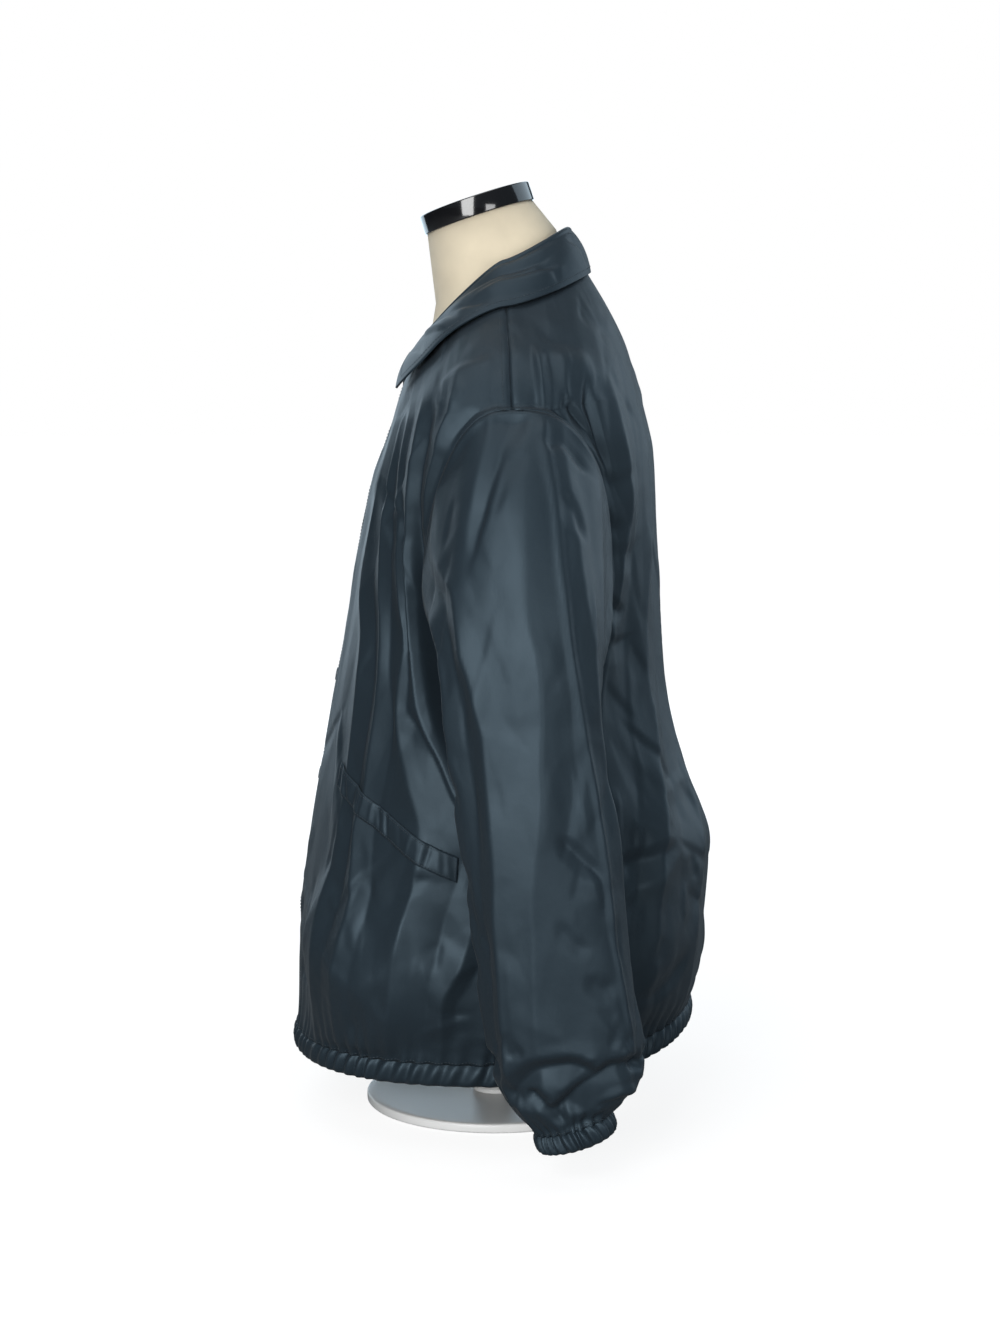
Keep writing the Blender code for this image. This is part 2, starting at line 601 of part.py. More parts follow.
def build_collar():
    """Turn-down collar with its stand and fall in one folded band."""
    outer, inner = [], []
    span = 360.0 - 2 * COLLAR_END
    for c in range(COLLAR_COLUMNS + 1):
        angle = COLLAR_END + span * c / COLLAR_COLUMNS
        line = collar_section(angle)
        beside = [collar_section(angle + step) for step in (-0.5, 0.5)]
        out_row, in_row = [], []
        for i, point in enumerate(line):
            along = line[min(i + 1, len(line) - 1)] - line[max(i - 1, 0)]
            across = beside[1][i] - beside[0][i]
            normal = unit(np.cross(across, along))
            out_row.append(point + normal * BAND_WALL / 2)
            in_row.append(point - normal * BAND_WALL / 2)
        outer.append(out_row)
        inner.append(in_row)
    wall("collar", inner, outer, False, NYLON)


# Welts and snaps

def on_front(grid, edges, angle, v):
    """Point on a front's own facets, below the armhole."""
    first, last = edges
    places = panel_rows()[1]
    r = max(i for i, place in enumerate(places[:-1]) if place <= v)
    up = (v - places[r]) / (places[r + 1] - places[r])
    column = FRONT_COLUMNS * (angle - first.seam) / (last.seam - first.seam)
    c = min(int(column), FRONT_COLUMNS - 1)
    on = column - c
    p, q = grid[r][c], grid[r][c + 1]
    s, t = grid[r + 1][c], grid[r + 1][c + 1]
    if first_diagonal(p, q, t, s):
        return p + (q - p) * on + (t - q) * up if on > up else p + (t - s) * on + (s - p) * up
    if on + up < 1.0:
        return p + (q - p) * on + (s - p) * up
    return t + (s - t) * (1.0 - on) + (q - t) * (1.0 - up)


def build_welt(name, side, grid, edges):
    """Slanted strip over a pocket opening, made from the front's points and moved out."""
    outer, inner = [], []
    for across in (-1.0, 0.0, 1.0):
        out_row, in_row = [], []
        for c in range(WELT_SEGMENTS + 1):
            share = c / WELT_SEGMENTS
            angle = side * (WELT_FROM[0] + (WELT_TO[0] - WELT_FROM[0]) * share)
            v = WELT_FROM[1] + (WELT_TO[1] - WELT_FROM[1]) * share + across * WELT_HALF_WIDE_V
            gap = WELT_END_GAP if c in (0, WELT_SEGMENTS) else WELT_GAP
            normal = body_normal(angle, v)
            under = on_front(grid, edges, angle, v) + normal * gap
            in_row.append(under)
            out_row.append(under + normal * BAND_WALL)
        if side < 0:
            out_row.reverse()
            in_row.reverse()
        outer.append(out_row)
        inner.append(in_row)
    wall(name, outer, inner, False, NYLON)


def build_snap(name, v):
    """Domed cap on the centre front, facing along the cloth's normal."""
    normal = body_normal(0.0, v)
    centre = body_point(0.0, v, SNAP_LIFT)
    up = unit(np.array([0.0, 0.0, 1.0]) - normal * normal[2])
    right = np.cross(up, normal)
    sides, rings = 12, ((1.0, 0.0), (1.0, 0.45), (0.72, 0.85))
    points, faces = [], []
    for radius, tall in rings:
        for k in range(sides):
            turn = 2 * math.pi * k / sides
            reach = (right * math.cos(turn) + up * math.sin(turn)) * SNAP_RADIUS * radius
            points.append(centre + reach + normal * SNAP_TALL * tall)
    points.append(centre + normal * SNAP_TALL)
    faces.append(tuple(reversed(range(sides))))
    for level in range(len(rings) - 1):
        for k in range(sides):
            a, b = level * sides + k, level * sides + (k + 1) % sides
            faces.append((a, b, b + sides, a + sides))
    top = (len(rings) - 1) * sides
    for k in range(sides):
        faces.append((top + k, top + (k + 1) % sides, len(points) - 1))
    add_object(name, points, faces, SNAP_METAL)


# Dress form

def form_seat(angle, v):
    """Point of the form just under the cloth, with more room at front and back."""
    inset = WALL + SEAT + FORM_EASE * math.cos(math.radians(angle)) ** 2
    return ring_point(body_ring(v), angle) - body_normal(angle, v) * inset


def neck_top(angle):
    """Point of the tilted circle that carries the neck cap."""
    turn = math.radians(angle)
    ahead = -NECK_TOP_RADIUS * math.cos(turn)
    return np.array(CAP_CENTRE) + np.array([NECK_TOP_RADIUS * math.sin(turn),
                                            ahead * math.cos(CAP_TILT),
                                            ahead * math.sin(CAP_TILT)])


def build_torso():
    """Smooth whole torso: lower rings, shoulders under the cloth, then the neck."""
    left = [-OVERLAP + (90.0 + OVERLAP) * c / FRONT_COLUMNS for c in range(FRONT_COLUMNS)]
    back = [90.0 + 180.0 * c / BACK_COLUMNS for c in range(BACK_COLUMNS)]
    right = [270.0 + (90.0 + UNDERLAP) * c / FRONT_COLUMNS for c in range(FRONT_COLUMNS)]
    angles = left + back + [angle for angle in right if angle < 360.0 - OVERLAP - FORM_CLOSE]
    columns = len(angles)
    rows = []
    for place in np.linspace(0.0, 1.0, FORM_LOWER_ROWS):
        ring = row_at(FORM_LOWER_RINGS, place)
        rows.append([ring_point(ring, angle) for angle in angles])
    for v in panel_rows()[1][-FORM_SHOULDER_ROWS:]:
        rows.append([form_seat(angle, v) for angle in angles])
    for ring in FORM_NECK_RINGS:
        rows.append([ring_point(ring, angle) for angle in angles])
    rows.append([neck_top(angle) for angle in angles])
    points = [p for row in rows for p in row]
    faces = [tuple(reversed(range(columns)))]
    for r in range(len(rows) - 1):
        for c in range(columns):
            d = (c + 1) % columns
            faces.append((r * columns + c, r * columns + d, (r + 1) * columns + d,
                          (r + 1) * columns + c))
    faces.append(tuple(range(len(points) - columns, len(points))))
    add_object("form_torso", points, faces, LINEN)


def build_turned(name, profile, segments, location, tilt, material):
    """Turned solid: a profile of (radius, height) run from top to bottom, spun round Z."""
    mesh = bpy.data.meshes.new(name)
    points = [(radius, 0.0, height) for radius, height in profile]
    mesh.from_pydata(points, [(i, i + 1) for i in range(len(points) - 1)], [])
    mesh.materials.append(material)
    thing = bpy.data.objects.new(name, mesh)
    thing.location = location
    thing.rotation_euler = (tilt, 0.0, 0.0)
    COLLECTION.objects.link(thing)
    spin = thing.modifiers.new("spin", "SCREW")
    spin.steps = spin.render_steps = segments
    spin.use_merge_vertices = True
    spin.merge_threshold = 0.00005
    spin.use_smooth_shade = True
    return thing


def build_stand():
    """Neck cap, pole and base."""
    rim = CAP_RADIUS - CAP_EDGE
    cap = [(0.0, CAP_TALL + CAP_DOME), (CAP_RADIUS * 0.6, CAP_TALL + CAP_DOME * 0.7),
           (rim, CAP_TALL), (CAP_RADIUS, CAP_TALL - CAP_EDGE),
           (CAP_RADIUS, SEAM + CAP_EDGE), (rim, SEAM), (0.0, SEAM)]
    build_turned("form_neck_cap", cap, CAP_SEGMENTS, CAP_CENTRE, CAP_TILT, CAP_GLOSS)
    foot, top = BASE_TALL + SEAM, FORM_LOWER_RINGS[0].z_front - SEAM
    pole = [(0.0, top), (POLE_RADIUS, top), (POLE_RADIUS, foot + POLE_COLLAR),
            (POLE_RADIUS + POLE_COLLAR, foot), (0.0, foot)]
    build_turned("form_pole", pole, POLE_SEGMENTS, (0.0, 0.0, 0.0), 0.0, STAND_WHITE)
    base = [(0.0, BASE_TALL), (BASE_RADIUS - BASE_EDGE, BASE_TALL),
            (BASE_RADIUS, BASE_TALL / 2), (BASE_RADIUS, 0.0), (0.0, 0.0)]
    build_turned("form_base", base, BASE_SEGMENTS, (0.0, 0.0, 0.0), 0.0, STAND_WHITE)


def main():
    """Build every piece."""
    left_grid, right_grid = build_body()
    build_welt("welt_left", 1.0, left_grid, LEFT_FRONT)
    build_welt("welt_right", -1.0, right_grid, RIGHT_FRONT)
    for word, side in (("left", 1.0), ("right", -1.0)):
        build_sleeve("sleeve_" + word, side)
        build_cuff("cuff_" + word, side)
    build_hem_casing()
    build_collar()
    for number, v in enumerate(SNAP_ROWS_V, start=1):
        build_snap("snap_%d" % number, v)
    build_torso()
    build_stand()


main()
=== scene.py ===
"""Looks of a nylon coach jacket on a limbless dress form.

Every cloth piece is a thin shell on the surface of its solid. Its main creases
stand in tables, and the fine ones are drawn from seeds. Metres,
+Z up; the front faces -Y and the wearer's left is +X. On the body a place is
(angle, v): angle 0 is the centre front, 90 the wearer's left side, and v runs
from 0 at the hem to 1 at the neck. On a sleeve it is (angle, t): angle 0 faces
outward, 90 the front, and t runs from 0 at the armhole to 1 at the cuff.
"""

import logging
import math
from dataclasses import dataclass, replace
from enum import Enum
from typing import NamedTuple, Sequence

import bmesh
import bpy
import numpy as np
from mathutils import Matrix, Vector


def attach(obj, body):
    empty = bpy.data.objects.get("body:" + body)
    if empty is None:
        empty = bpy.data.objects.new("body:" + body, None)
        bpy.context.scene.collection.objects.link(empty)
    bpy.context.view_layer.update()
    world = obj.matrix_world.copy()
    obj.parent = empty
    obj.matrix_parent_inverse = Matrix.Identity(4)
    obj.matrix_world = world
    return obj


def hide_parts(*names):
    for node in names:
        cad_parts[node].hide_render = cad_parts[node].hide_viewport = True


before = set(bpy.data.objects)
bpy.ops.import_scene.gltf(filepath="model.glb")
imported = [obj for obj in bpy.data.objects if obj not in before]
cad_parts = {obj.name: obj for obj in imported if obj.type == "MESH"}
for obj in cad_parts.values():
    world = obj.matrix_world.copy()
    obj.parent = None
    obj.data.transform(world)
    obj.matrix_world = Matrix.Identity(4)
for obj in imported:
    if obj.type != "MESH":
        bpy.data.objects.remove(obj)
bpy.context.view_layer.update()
LOG = logging.getLogger("jacket")
UP = np.array([0.0, 0.0, 1.0])
LEVEL = np.array([1.0, 1.0, 0.0])
TURN = 2 * math.pi
WHITE = (1.0, 1.0, 1.0)
SMALL = 1e-6
MILLIMETRE = 0.001

Pair, Triple = tuple[float, float], tuple[float, float, float]
Array = np.ndarray
Thing = bpy.types.Object
Material = bpy.types.Material
Tree, Node, Socket = bpy.types.NodeTree, bpy.types.Node, bpy.types.NodeSocket


class Slot(Enum):
    """Material slots of the record."""

    NYLON = "nylon"
    SNAP = "snap"
    LINEN = "linen"
    CAP = "cap"
    STAND = "stand"


class Held(Enum):
    """How a sheet of cloth is held."""

    HUNG = "hung"
    GATHERED = "gathered"
    FOLDED = "folded"
    LAID = "laid"


# Interpolation

def rise(x: Array) -> Array:
    """Smooth step from 0 to 1."""
    x = np.clip(x, 0.0, 1.0)
    return x * x * (3.0 - 2.0 * x)


class Fade(NamedTuple):
    """A soft change from 0 to 1 over a width, which is negative for a fall."""

    start: float
    width: float

    def at(self, x: Array) -> Array:
        """How far the change has gone at x."""
        return rise((x - self.start) / self.width)


class Bell(NamedTuple):
    """A soft bump of height 1 round a middle."""

    middle: float
    width: float

    def at(self, x: Array) -> Array:
        """Height of the bump at x."""
        return np.exp(-((x - self.middle) / self.width) ** 2)


def hermite(h: Array, start: Array, leave: Array, end: Array,
            arrive: Array) -> Array:
    """Cubic between two points with a direction at each, at the share h of the way."""
    return ((1 + 2 * h) * (1 - h) ** 2 * start + h * (1 - h) ** 2 * leave
            + h * h * (3 - 2 * h) * end + h * h * (h - 1) * arrive)


def through(stations: Sequence[float], values: Sequence[float], places: Array) -> Array:
    """Monotone cubic through a table's column.

    Args:
        stations: Places of the table's rows, rising.
        values: The column's values there.
        places: Where to read it.

    Returns:
        The values at the places, held at both ends.
    """
    xs, ys = np.asarray(stations, float), np.asarray(values, float)
    gaps = np.diff(xs)
    rises = np.diff(ys) / gaps
    slopes = np.zeros_like(ys)
    for i in range(1, len(xs) - 1):
        if rises[i - 1] * rises[i] > 0:
            before, after = 2 * gaps[i] + gaps[i - 1], gaps[i] + 2 * gaps[i - 1]
            slopes[i] = (before + after) / (before / rises[i - 1] + after / rises[i])
    slopes[0], slopes[-1] = rises[0], rises[-1]
    at = np.clip(places, xs[0], xs[-1])
    i = np.clip(np.searchsorted(xs, at, side="right") - 1, 0, len(gaps) - 1)
    h = (at - xs[i]) / gaps[i]
    return hermite(h, ys[i], gaps[i] * slopes[i], ys[i + 1], gaps[i] * slopes[i + 1])


def through_rows(rows: Sequence[tuple], places: Array) -> list[Array]:
    """Every column of a table at some places, which its first column counts."""
    columns = list(zip(*rows))
    return [through(columns[0], column, places) for column in columns]


def unit(vectors: Array) -> Array:
    """Vectors of length one."""
    return vectors / np.linalg.norm(vectors, axis=-1, keepdims=True)


def nearest(spots: Array, nodes: Array) -> tuple[Array, Array, Array]:
    """Nearest point of a line for each spot.

    Args:
        spots: Flat places in metres, one a row.
        nodes: Points of the line, in the same plane.

    Returns:
        The gap to the line, its side (1 or -1) and the length run along the line.
    """
    gap = np.full(len(spots), np.inf)
    side, run = np.ones(len(spots)), np.zeros(len(spots))
    start = 0.0
    for node, leg in zip(nodes[:-1], np.diff(nodes, axis=0)):
        length = float(np.hypot(*leg))
        way = spots - node
        share = np.clip(way @ leg / length ** 2, 0.0, 1.0)
        off = way - share[:, None] * leg
        here = np.hypot(off[:, 0], off[:, 1])
        nearer = here < gap
        gap = np.where(nearer, here, gap)
        side = np.where(nearer, np.sign(leg[0] * way[:, 1] - leg[1] * way[:, 0]), side)
        run = np.where(nearer, start + share * length, run)
        start += length
    return gap, side, run


# Creases

FOOT = 0.05  # how softly a crease's sides run out into the cloth
PATH_STEPS = 4  # steps between two points of a crease's path
END_WIDTH = 0.5  # share of its width that a crease keeps at its ends
FINE_CREST = 0.05
VARY_PLACE = (4.0, 0.018)  # how far a crease is moved on the hidden side: degrees, and along
VARY_POINT = 2.0  # degrees by which each point of its path is moved
VARY_HEIGHT = (0.7, 1.15)
# Bend of the cloth over a fold line: places across it and their weights
BEND = ((-0.9, 0.08), (-0.6, 0.16), (-0.3, 0.17), (0.0, 0.18), (0.3, 0.17), (0.6, 0.16), (0.9, 0.08))
# How the bend's width varies: share, waves along and degrees round
UNEVEN_BEND, UNEVEN_ALONG, UNEVEN_ROUND = 0.5, 23.0, 11.0
LEAST_WIDE = 0.05  # degrees between two fold lines, at the least
SAG, SAG_REACH = 0.5, 0.8  # sag between two fold lines, and the widest span in radii
# Borders of the facets are blurred over these places, in metres
BLUR = ((-0.001, -0.001), (0.001, -0.001), (-0.001, 0.001), (0.001, 0.001), (0.0, 0.0))
# Waves that put the facets out of line, and the numbers from which their corners get heights
WARP = ((2.3, 1.1, 1.7), (1.9, 1.3, 2.1))
SEED_SHIFT = 0.37
SCATTER = (127.1, 311.7, 74.7, 43758.5453)
SPACING, STRENGTH = (0.65, 1.35), (0.45, 1.35)  # ranges of the gathers' widths and heights
NEXT_SET = 17  # step of the seed from one set of heights to the next
GATHER_REACH = (0.004, 0.014)  # how far gathers run into the cloth: least, and more for strong ones


@dataclass(frozen=True)
class Crease:
    """One crease of the cloth.

    Its path is given in (angle, place). A positive height is a ridge and a
    negative one a trough, in metres. The widths are those of its two flat
    sides, left and right of the path as it runs, and the crest says how round
    its line is, from 0 for a knife edge.
    """

    path: tuple[Pair, ...]
    height: float
    left: float
    right: float
    crest: float = 0.15
    head: float = 0.35
    tail: float = 0.35

    def lift(self, spots: Array, scale: Array) -> Array:
        """How far the crease lifts the cloth.

        Args:
            spots: Flat places in metres, one a row.
            scale: Metres in one degree and in one unit along.

        Returns:
            The lift at each spot, in metres.
        """
        nodes = np.array(self.path) * scale
        if len(nodes) > 2:
            even = np.linspace(0, len(nodes) - 1, PATH_STEPS * (len(nodes) - 1) + 1)
            nodes = np.stack([through(range(len(nodes)), nodes[:, k], even) for k in (0, 1)], -1)
        gap, side, run = nearest(spots, nodes)
        total = np.linalg.norm(np.diff(nodes, axis=0), axis=1).sum()
        share = run / total
        fade = rise(share / max(self.head, SMALL)) * rise((1.0 - share) / max(self.tail, SMALL))
        wide = np.where(side > 0, self.left, self.right) * (END_WIDTH + (1.0 - END_WIDTH) * fade)
        across = gap / wide
        slope = 1.0 + self.crest - np.sqrt(across ** 2 + self.crest ** 2)
        return self.height * fade * FOOT * np.logaddexp(0.0, slope / FOOT)

    def varied(self, draw: np.random.Generator) -> "Crease":
        """A similar crease for the hidden side, moved a little and of another height.

        Args:
            draw: Seeded random numbers.

        Returns:
            The changed crease.
        """
        along, up = (draw.uniform(-far, far) for far in VARY_PLACE)
        path = tuple((a + along + draw.uniform(-VARY_POINT, VARY_POINT), p + up) for a, p in self.path)
        return replace(self, path=path, height=self.height * draw.uniform(*VARY_HEIGHT))


@dataclass(frozen=True)
class Crumple:
    """Fine creases scattered over a stretch of cloth."""

    seed: int
    count: int
    angles: Pair
    places: Pair
    lean: float  # main direction in degrees from upright
    spread: float
    long: Pair = (0.03, 0.10)
    high: Pair = (0.0004, 0.0012)
    steep: Pair = (0.004, 0.008)
    broad: Pair = (0.012, 0.030)

    def creases(self, scale: Array) -> list[Crease]:
        """Draw the creases.

        Args:
            scale: Metres in one degree and in one unit along.

        Returns:
            The list of creases.
        """
        draw = np.random.default_rng(self.seed)
        made = []
        for _ in range(self.count):
            middle = np.array([draw.uniform(*self.angles), draw.uniform(*self.places)])
            turn = math.radians(self.lean + draw.normal(0.0, self.spread))
            reach = np.array([math.sin(turn), math.cos(turn)]) * draw.uniform(*self.long) / 2
            path = (tuple(middle - reach / scale), tuple(middle + reach / scale))
            height = draw.uniform(*self.high) * draw.choice([-1.0, 1.0])
            sides = draw.permutation([draw.uniform(*self.steep), draw.uniform(*self.broad)])
            made.append(Crease(path, height, *sides, crest=FINE_CREST))
        return made


@dataclass(frozen=True)
class FoldSet:
    """Fold lines that run side by side, with nearly flat cloth between each two.

    A line is a list of rows (place, angle, height in millimetres), and the
    lines stand in order of angle.
    """

    lines: tuple[tuple[Triple, ...], ...]
    radius: float  # of the form under the cloth, in metres
    soft: float  # how far the cloth bends to either side of a line
    strength: float = 1.0
    closed: bool = False

    def lift(self, angle: Array, place: Array) -> Array:
        """How far the folds lift the cloth.

        Args:
            angle: Angles in degrees.
            place: Places along the lines.

        Returns:
            The lift at each place, in metres.
        """
        _, ways, heights = np.stack([through_rows(line, place) for line in self.lines], axis=1)
        heights = heights * MILLIMETRE * self.strength
        if self.closed:
            ways = np.concatenate([ways[-2:] - 360.0, ways, ways[:2] + 360.0])
            heights = np.concatenate([heights[-2:], heights, heights[:2]])
        ways = np.maximum.accumulate(ways + SMALL * np.arange(len(ways))[:, None], axis=0)
        degree = math.radians(1.0) * self.radius
        uneven = 1.0 + UNEVEN_BEND * np.sin(UNEVEN_ALONG * place + angle / UNEVEN_ROUND)
        row = np.arange(len(place))
        total = np.zeros(len(place))
        for shift, weight in BEND:
            at = angle + shift * uneven * self.soft / degree
            k = np.clip((ways <= at).sum(axis=0) - 1, 0, len(ways) - 2)
            wide = np.maximum(ways[k + 1, row] - ways[k, row], LEAST_WIDE)
            share = np.clip((at - ways[k, row]) / wide, 0.0, 1.0)
            span = np.minimum(wide * degree, SAG_REACH * self.radius)
            sag = SAG * share * (1.0 - share) * span ** 2 / self.radius
            total += weight * (heights[k, row] * (1.0 - share) + heights[k + 1, row] * share - sag)
        return total


@dataclass(frozen=True)
class Facets:
    """Uneven flat patches with straight borders, as stiff thin cloth falls."""

    seed: int
    size: Pair  # width and height of a patch in metres
    high: float
    stir: float = 0.32  # how far the patches are out of line

    def lift(self, spots: Array) -> Array:
        """How far the patches lift the cloth.

        Args:
            spots: Flat places in metres, one a row.

        Returns:
            The lift at each spot, in metres.
        """
        place = spots / np.array(self.size) + SEED_SHIFT * self.seed
        x, y = place.T
        warps = [np.sin(main * this + bend * np.sin(turn * other))
                 for (main, bend, turn), this, other in zip(WARP, (y, x), (x, y))]
        place = place + self.stir * np.stack(warps, -1)
        total = np.zeros(len(spots))
        for shift in BLUR:
            at = place + np.array(shift) / np.array(self.size)
            cell = np.floor(at).astype(int)
            f, g = (at - cell).T
            low, right = self.height(cell), self.height(cell + (1, 0))
            left, high = self.height(cell + (0, 1)), self.height(cell + (1, 1))
            flip = (cell.sum(axis=1) % 2) == 0
            under = np.where(f > g, low + f * (right - low) + g * (high - right),
                             low + g * (left - low) + f * (high - left))
            over = np.where(f + g < 1.0, low + f * (right - low) + g * (left - low),
                            high + (1 - f) * (left - high) + (1 - g) * (right - high))
            total += np.where(flip, under, over)
        return self.high * total / len(BLUR)

    def height(self, cell: Array) -> Array:
        """Height from -1 to 1 of a patch's corner, the same for the same corner."""
        across, up, seed, spread = SCATTER
        mixed = np.sin(cell[:, 0] * across + cell[:, 1] * up + self.seed * seed) * spread
        return 2.0 * (mixed - np.floor(mixed)) - 1.0


@dataclass(frozen=True)
class Gathers:
    """Uneven gathers round an elastic casing."""

    seed: int
    count: int
    wave: float

    def phase(self, share: Array) -> Array:
        """Angle of the wave at a share of the way round, unevenly spaced."""
        draw = np.random.default_rng(self.seed)
        widths = draw.uniform(*SPACING, self.count)
        ends = np.concatenate(([0.0], np.cumsum(widths))) / widths.sum()
        return TURN * np.interp(share % 1.0, ends, np.arange(self.count + 1))

    def strength(self, share: Array, row: int = 0) -> Array:
        """Height factor at a share of the way round, a different set for each row."""
        draw = np.random.default_rng(self.seed + NEXT_SET * (row + 1))
        marks = draw.uniform(*STRENGTH, self.count // 2)
        marks = np.append(marks, marks[0])
        return np.interp(share % 1.0, np.linspace(0.0, 1.0, len(marks)), marks)

    def relief(self, share: Array, away: Array) -> Array:
        """Lift of the gathers on the cloth beside the casing, fading out away from it."""
        least, more = GATHER_REACH
        wave = np.cos(self.phase(share)) * self.strength(share)
        return self.wave * wave * np.exp(-away / (least + more * self.strength(share, 1) ** 2))


# Surfaces

PAST_END = 0.02  # part at either end by which a surface is carried on
ANGLE_STEP, PLACE_STEP = 0.1, 0.001  # steps that give a surface its normals


class Ring(NamedTuple):
    """One ring of the body: heights and reach at front, side and back, and its roundness."""

    v: float
    z_front: float
    z_side: float
    z_back: float
    half_width: float
    y_front: float
    y_side: float
    y_back: float
    square: float = 2.25
    turn: float = 2.0


BODY_RINGS = (
    Ring(0.00, 0.0825, 0.0855, 0.1105, 0.198, -0.1985, 0.000, 0.1950),
    Ring(0.05, 0.1180, 0.1200, 0.1400, 0.210, -0.1965, 0.004, 0.2065),
    Ring(0.15, 0.1950, 0.1980, 0.2050, 0.217, -0.1940, 0.008, 0.2105),
    Ring(0.26, 0.2850, 0.2830, 0.2650, 0.218, -0.1830, 0.010, 0.2140),
    Ring(0.38, 0.3750, 0.3700, 0.3450, 0.215, -0.1675, 0.012, 0.1880),
    Ring(0.47, 0.4450, 0.4360, 0.4220, 0.211, -0.1550, 0.014, 0.1690),
    Ring(0.52, 0.4820, 0.4720, 0.4650, 0.209, -0.1480, 0.016, 0.1645),
    Ring(0.62, 0.5600, 0.5450, 0.5500, 0.216, -0.1340, 0.018, 0.1600),
    Ring(0.74, 0.6320, 0.6400, 0.6550, 0.235, -0.1185, 0.018, 0.1540, 2.30),
    Ring(0.78, 0.6560, 0.6700, 0.6890, 0.242, -0.1110, 0.017, 0.1470, 2.30, 1.95),
    Ring(0.82, 0.6800, 0.6990, 0.7220, 0.240, -0.1030, 0.016, 0.1385, 2.30, 1.9),
    Ring(0.845, 0.6910, 0.7190, 0.7390, 0.228, -0.0995, 0.015, 0.1340, 2.30, 1.8),
    Ring(0.87, 0.7020, 0.7380, 0.7560, 0.207, -0.0960, 0.014, 0.1290, 2.30, 1.7),
    Ring(0.93, 0.7220, 0.7720, 0.7960, 0.153, -0.0895, 0.012, 0.1100, 2.30, 1.5),
    Ring(1.00, 0.7450, 0.8130, 0.8420, 0.078, -0.0800, 0.010, 0.0830, 2.25, 1.3),
)


@dataclass(frozen=True)
class RingStack:
    """Surface through a stack of rings."""

    rings: tuple[Ring, ...]

    def ring_point(self, ring: Ring, angle: Array) -> Array:
        """Points of one ring or many.

        Args:
            ring: The ring, with arrays as its values for many.
            angle: Angles in degrees.

        Returns:
            Points, in the last axis.
        """
        sine, cosine = np.sin(np.radians(angle)), np.cos(np.radians(angle))
        power = 2.0 / ring.square
        y_end = np.where(cosine > 0, ring.y_front, ring.y_back)
        z_end = np.where(cosine > 0, ring.z_front, ring.z_back)
        x = ring.half_width * np.sign(sine) * np.abs(sine) ** power
        y = ring.y_side + (y_end - ring.y_side) * np.abs(cosine) ** power
        z = ring.z_side + (z_end - ring.z_side) * np.abs(cosine) ** ring.turn
        return np.stack(np.broadcast_arrays(x, y, z), -1)

    def ring(self, v: Array) -> Ring:
        """The ring at v, read from the table."""
        return Ring(*through_rows(self.rings, v))

    def point(self, angle: Array, v: Array) -> Array:
        """Points of the surface, carried on past both ends.

        Args:
            angle: Angles in degrees.
            v: Places from the first ring to the last.

        Returns:
            Points, in the last axis.
        """
        inside = np.clip(v, 0.0, 1.0)
        base = self.ring_point(self.ring(inside), angle)
        step = np.where(v > 0.5, 1.0 - PAST_END, PAST_END)
        past = ((v - inside) / (step - np.round(step)))[..., None]
        return base + np.where(past == 0.0, 0.0, past * (self.ring_point(self.ring(step), angle) - base))

    def normal(self, angle: Array, v: Array) -> Array:
        """Outward normals of the surface."""
        da = self.point(angle + ANGLE_STEP, v) - self.point(angle - ANGLE_STEP, v)
        dv = self.point(angle, v + PLACE_STEP) - self.point(angle, v - PLACE_STEP)
        return unit(np.cross(da, dv))


# Meshes

def select_only(thing: Thing) -> None:
    """Make one object the only selected and active one."""
    bpy.ops.object.select_all(action="DESELECT")
    thing.select_set(True)
    bpy.context.view_layer.objects.active = thing


def apply_modifiers(thing: Thing) -> None:
    """Apply every modifier of an object, in order."""
    select_only(thing)
    for name in [modifier.name for modifier in thing.modifiers]:
        bpy.ops.object.modifier_apply(modifier=name)


def new_object(name: str, points: Array, faces: list, corners: Array | None = None) -> Thing:
    """Make a smooth mesh object from arrays.

    Args:
        name: Name of the piece.
        points: Points, one a row.
        faces: Corner numbers of each face.
        corners: UV of each face corner, in metres of cloth.

    Returns:
        The new object, linked to the scene.
    """
    mesh = bpy.data.meshes.new(name)
    mesh.from_pydata(points.tolist(), [], faces)
    if corners is not None:
        layer = mesh.uv_layers.new(name="cloth")
        layer.data.foreach_set("uv", corners.astype(np.float32).ravel())
    mesh.shade_smooth()
    thing = bpy.data.objects.new(name, mesh)
    bpy.context.scene.collection.objects.link(thing)
    return thing


def grid_object(name: str, points: Array, cloth: Array, closed: bool = False) -> Thing:
    """Make a mesh from a grid of rows.

    Args:
        name: Name of the piece.
        points: Grid of points, rows by columns by 3.
        cloth: UV of the grid in metres; one more column than points if closed.
        closed: Whether each row joins end to start.

    Returns:
        The new object.
    """
    rows, columns = points.shape[:2]
    r, c = np.meshgrid(np.arange(rows - 1), np.arange(columns if closed else columns - 1), indexing="ij")
    d = (c + 1) % columns
    faces = np.stack([r * columns + c, r * columns + d,
                      (r + 1) * columns + d, (r + 1) * columns + c], -1).reshape(-1, 4)
    corners = np.stack([cloth[r, c], cloth[r, c + 1], cloth[r + 1, c + 1], cloth[r + 1, c]], -2)
    return new_object(name, points.reshape(-1, 3), faces.tolist(), corners.reshape(-1, 2))


def thicken(thing: Thing, thickness: float, offset: float = -1.0) -> None:
    """Give a sheet its thickness, inward unless said otherwise."""
    solid = thing.modifiers.new("thickness", "SOLIDIFY")
    solid.thickness = thickness
    solid.offset = offset
    solid.use_even_offset = False
    apply_modifiers(thing)


def bevel(thing: Thing, width: float, segments: int, angle: float) -> None:
    """Round the edges that turn by more than an angle in degrees."""
    edge = thing.modifiers.new("round", "BEVEL")
    edge.width, edge.segments = width, segments
    edge.limit_method = "ANGLE"
    edge.angle_limit = math.radians(angle)
    apply_modifiers(thing)


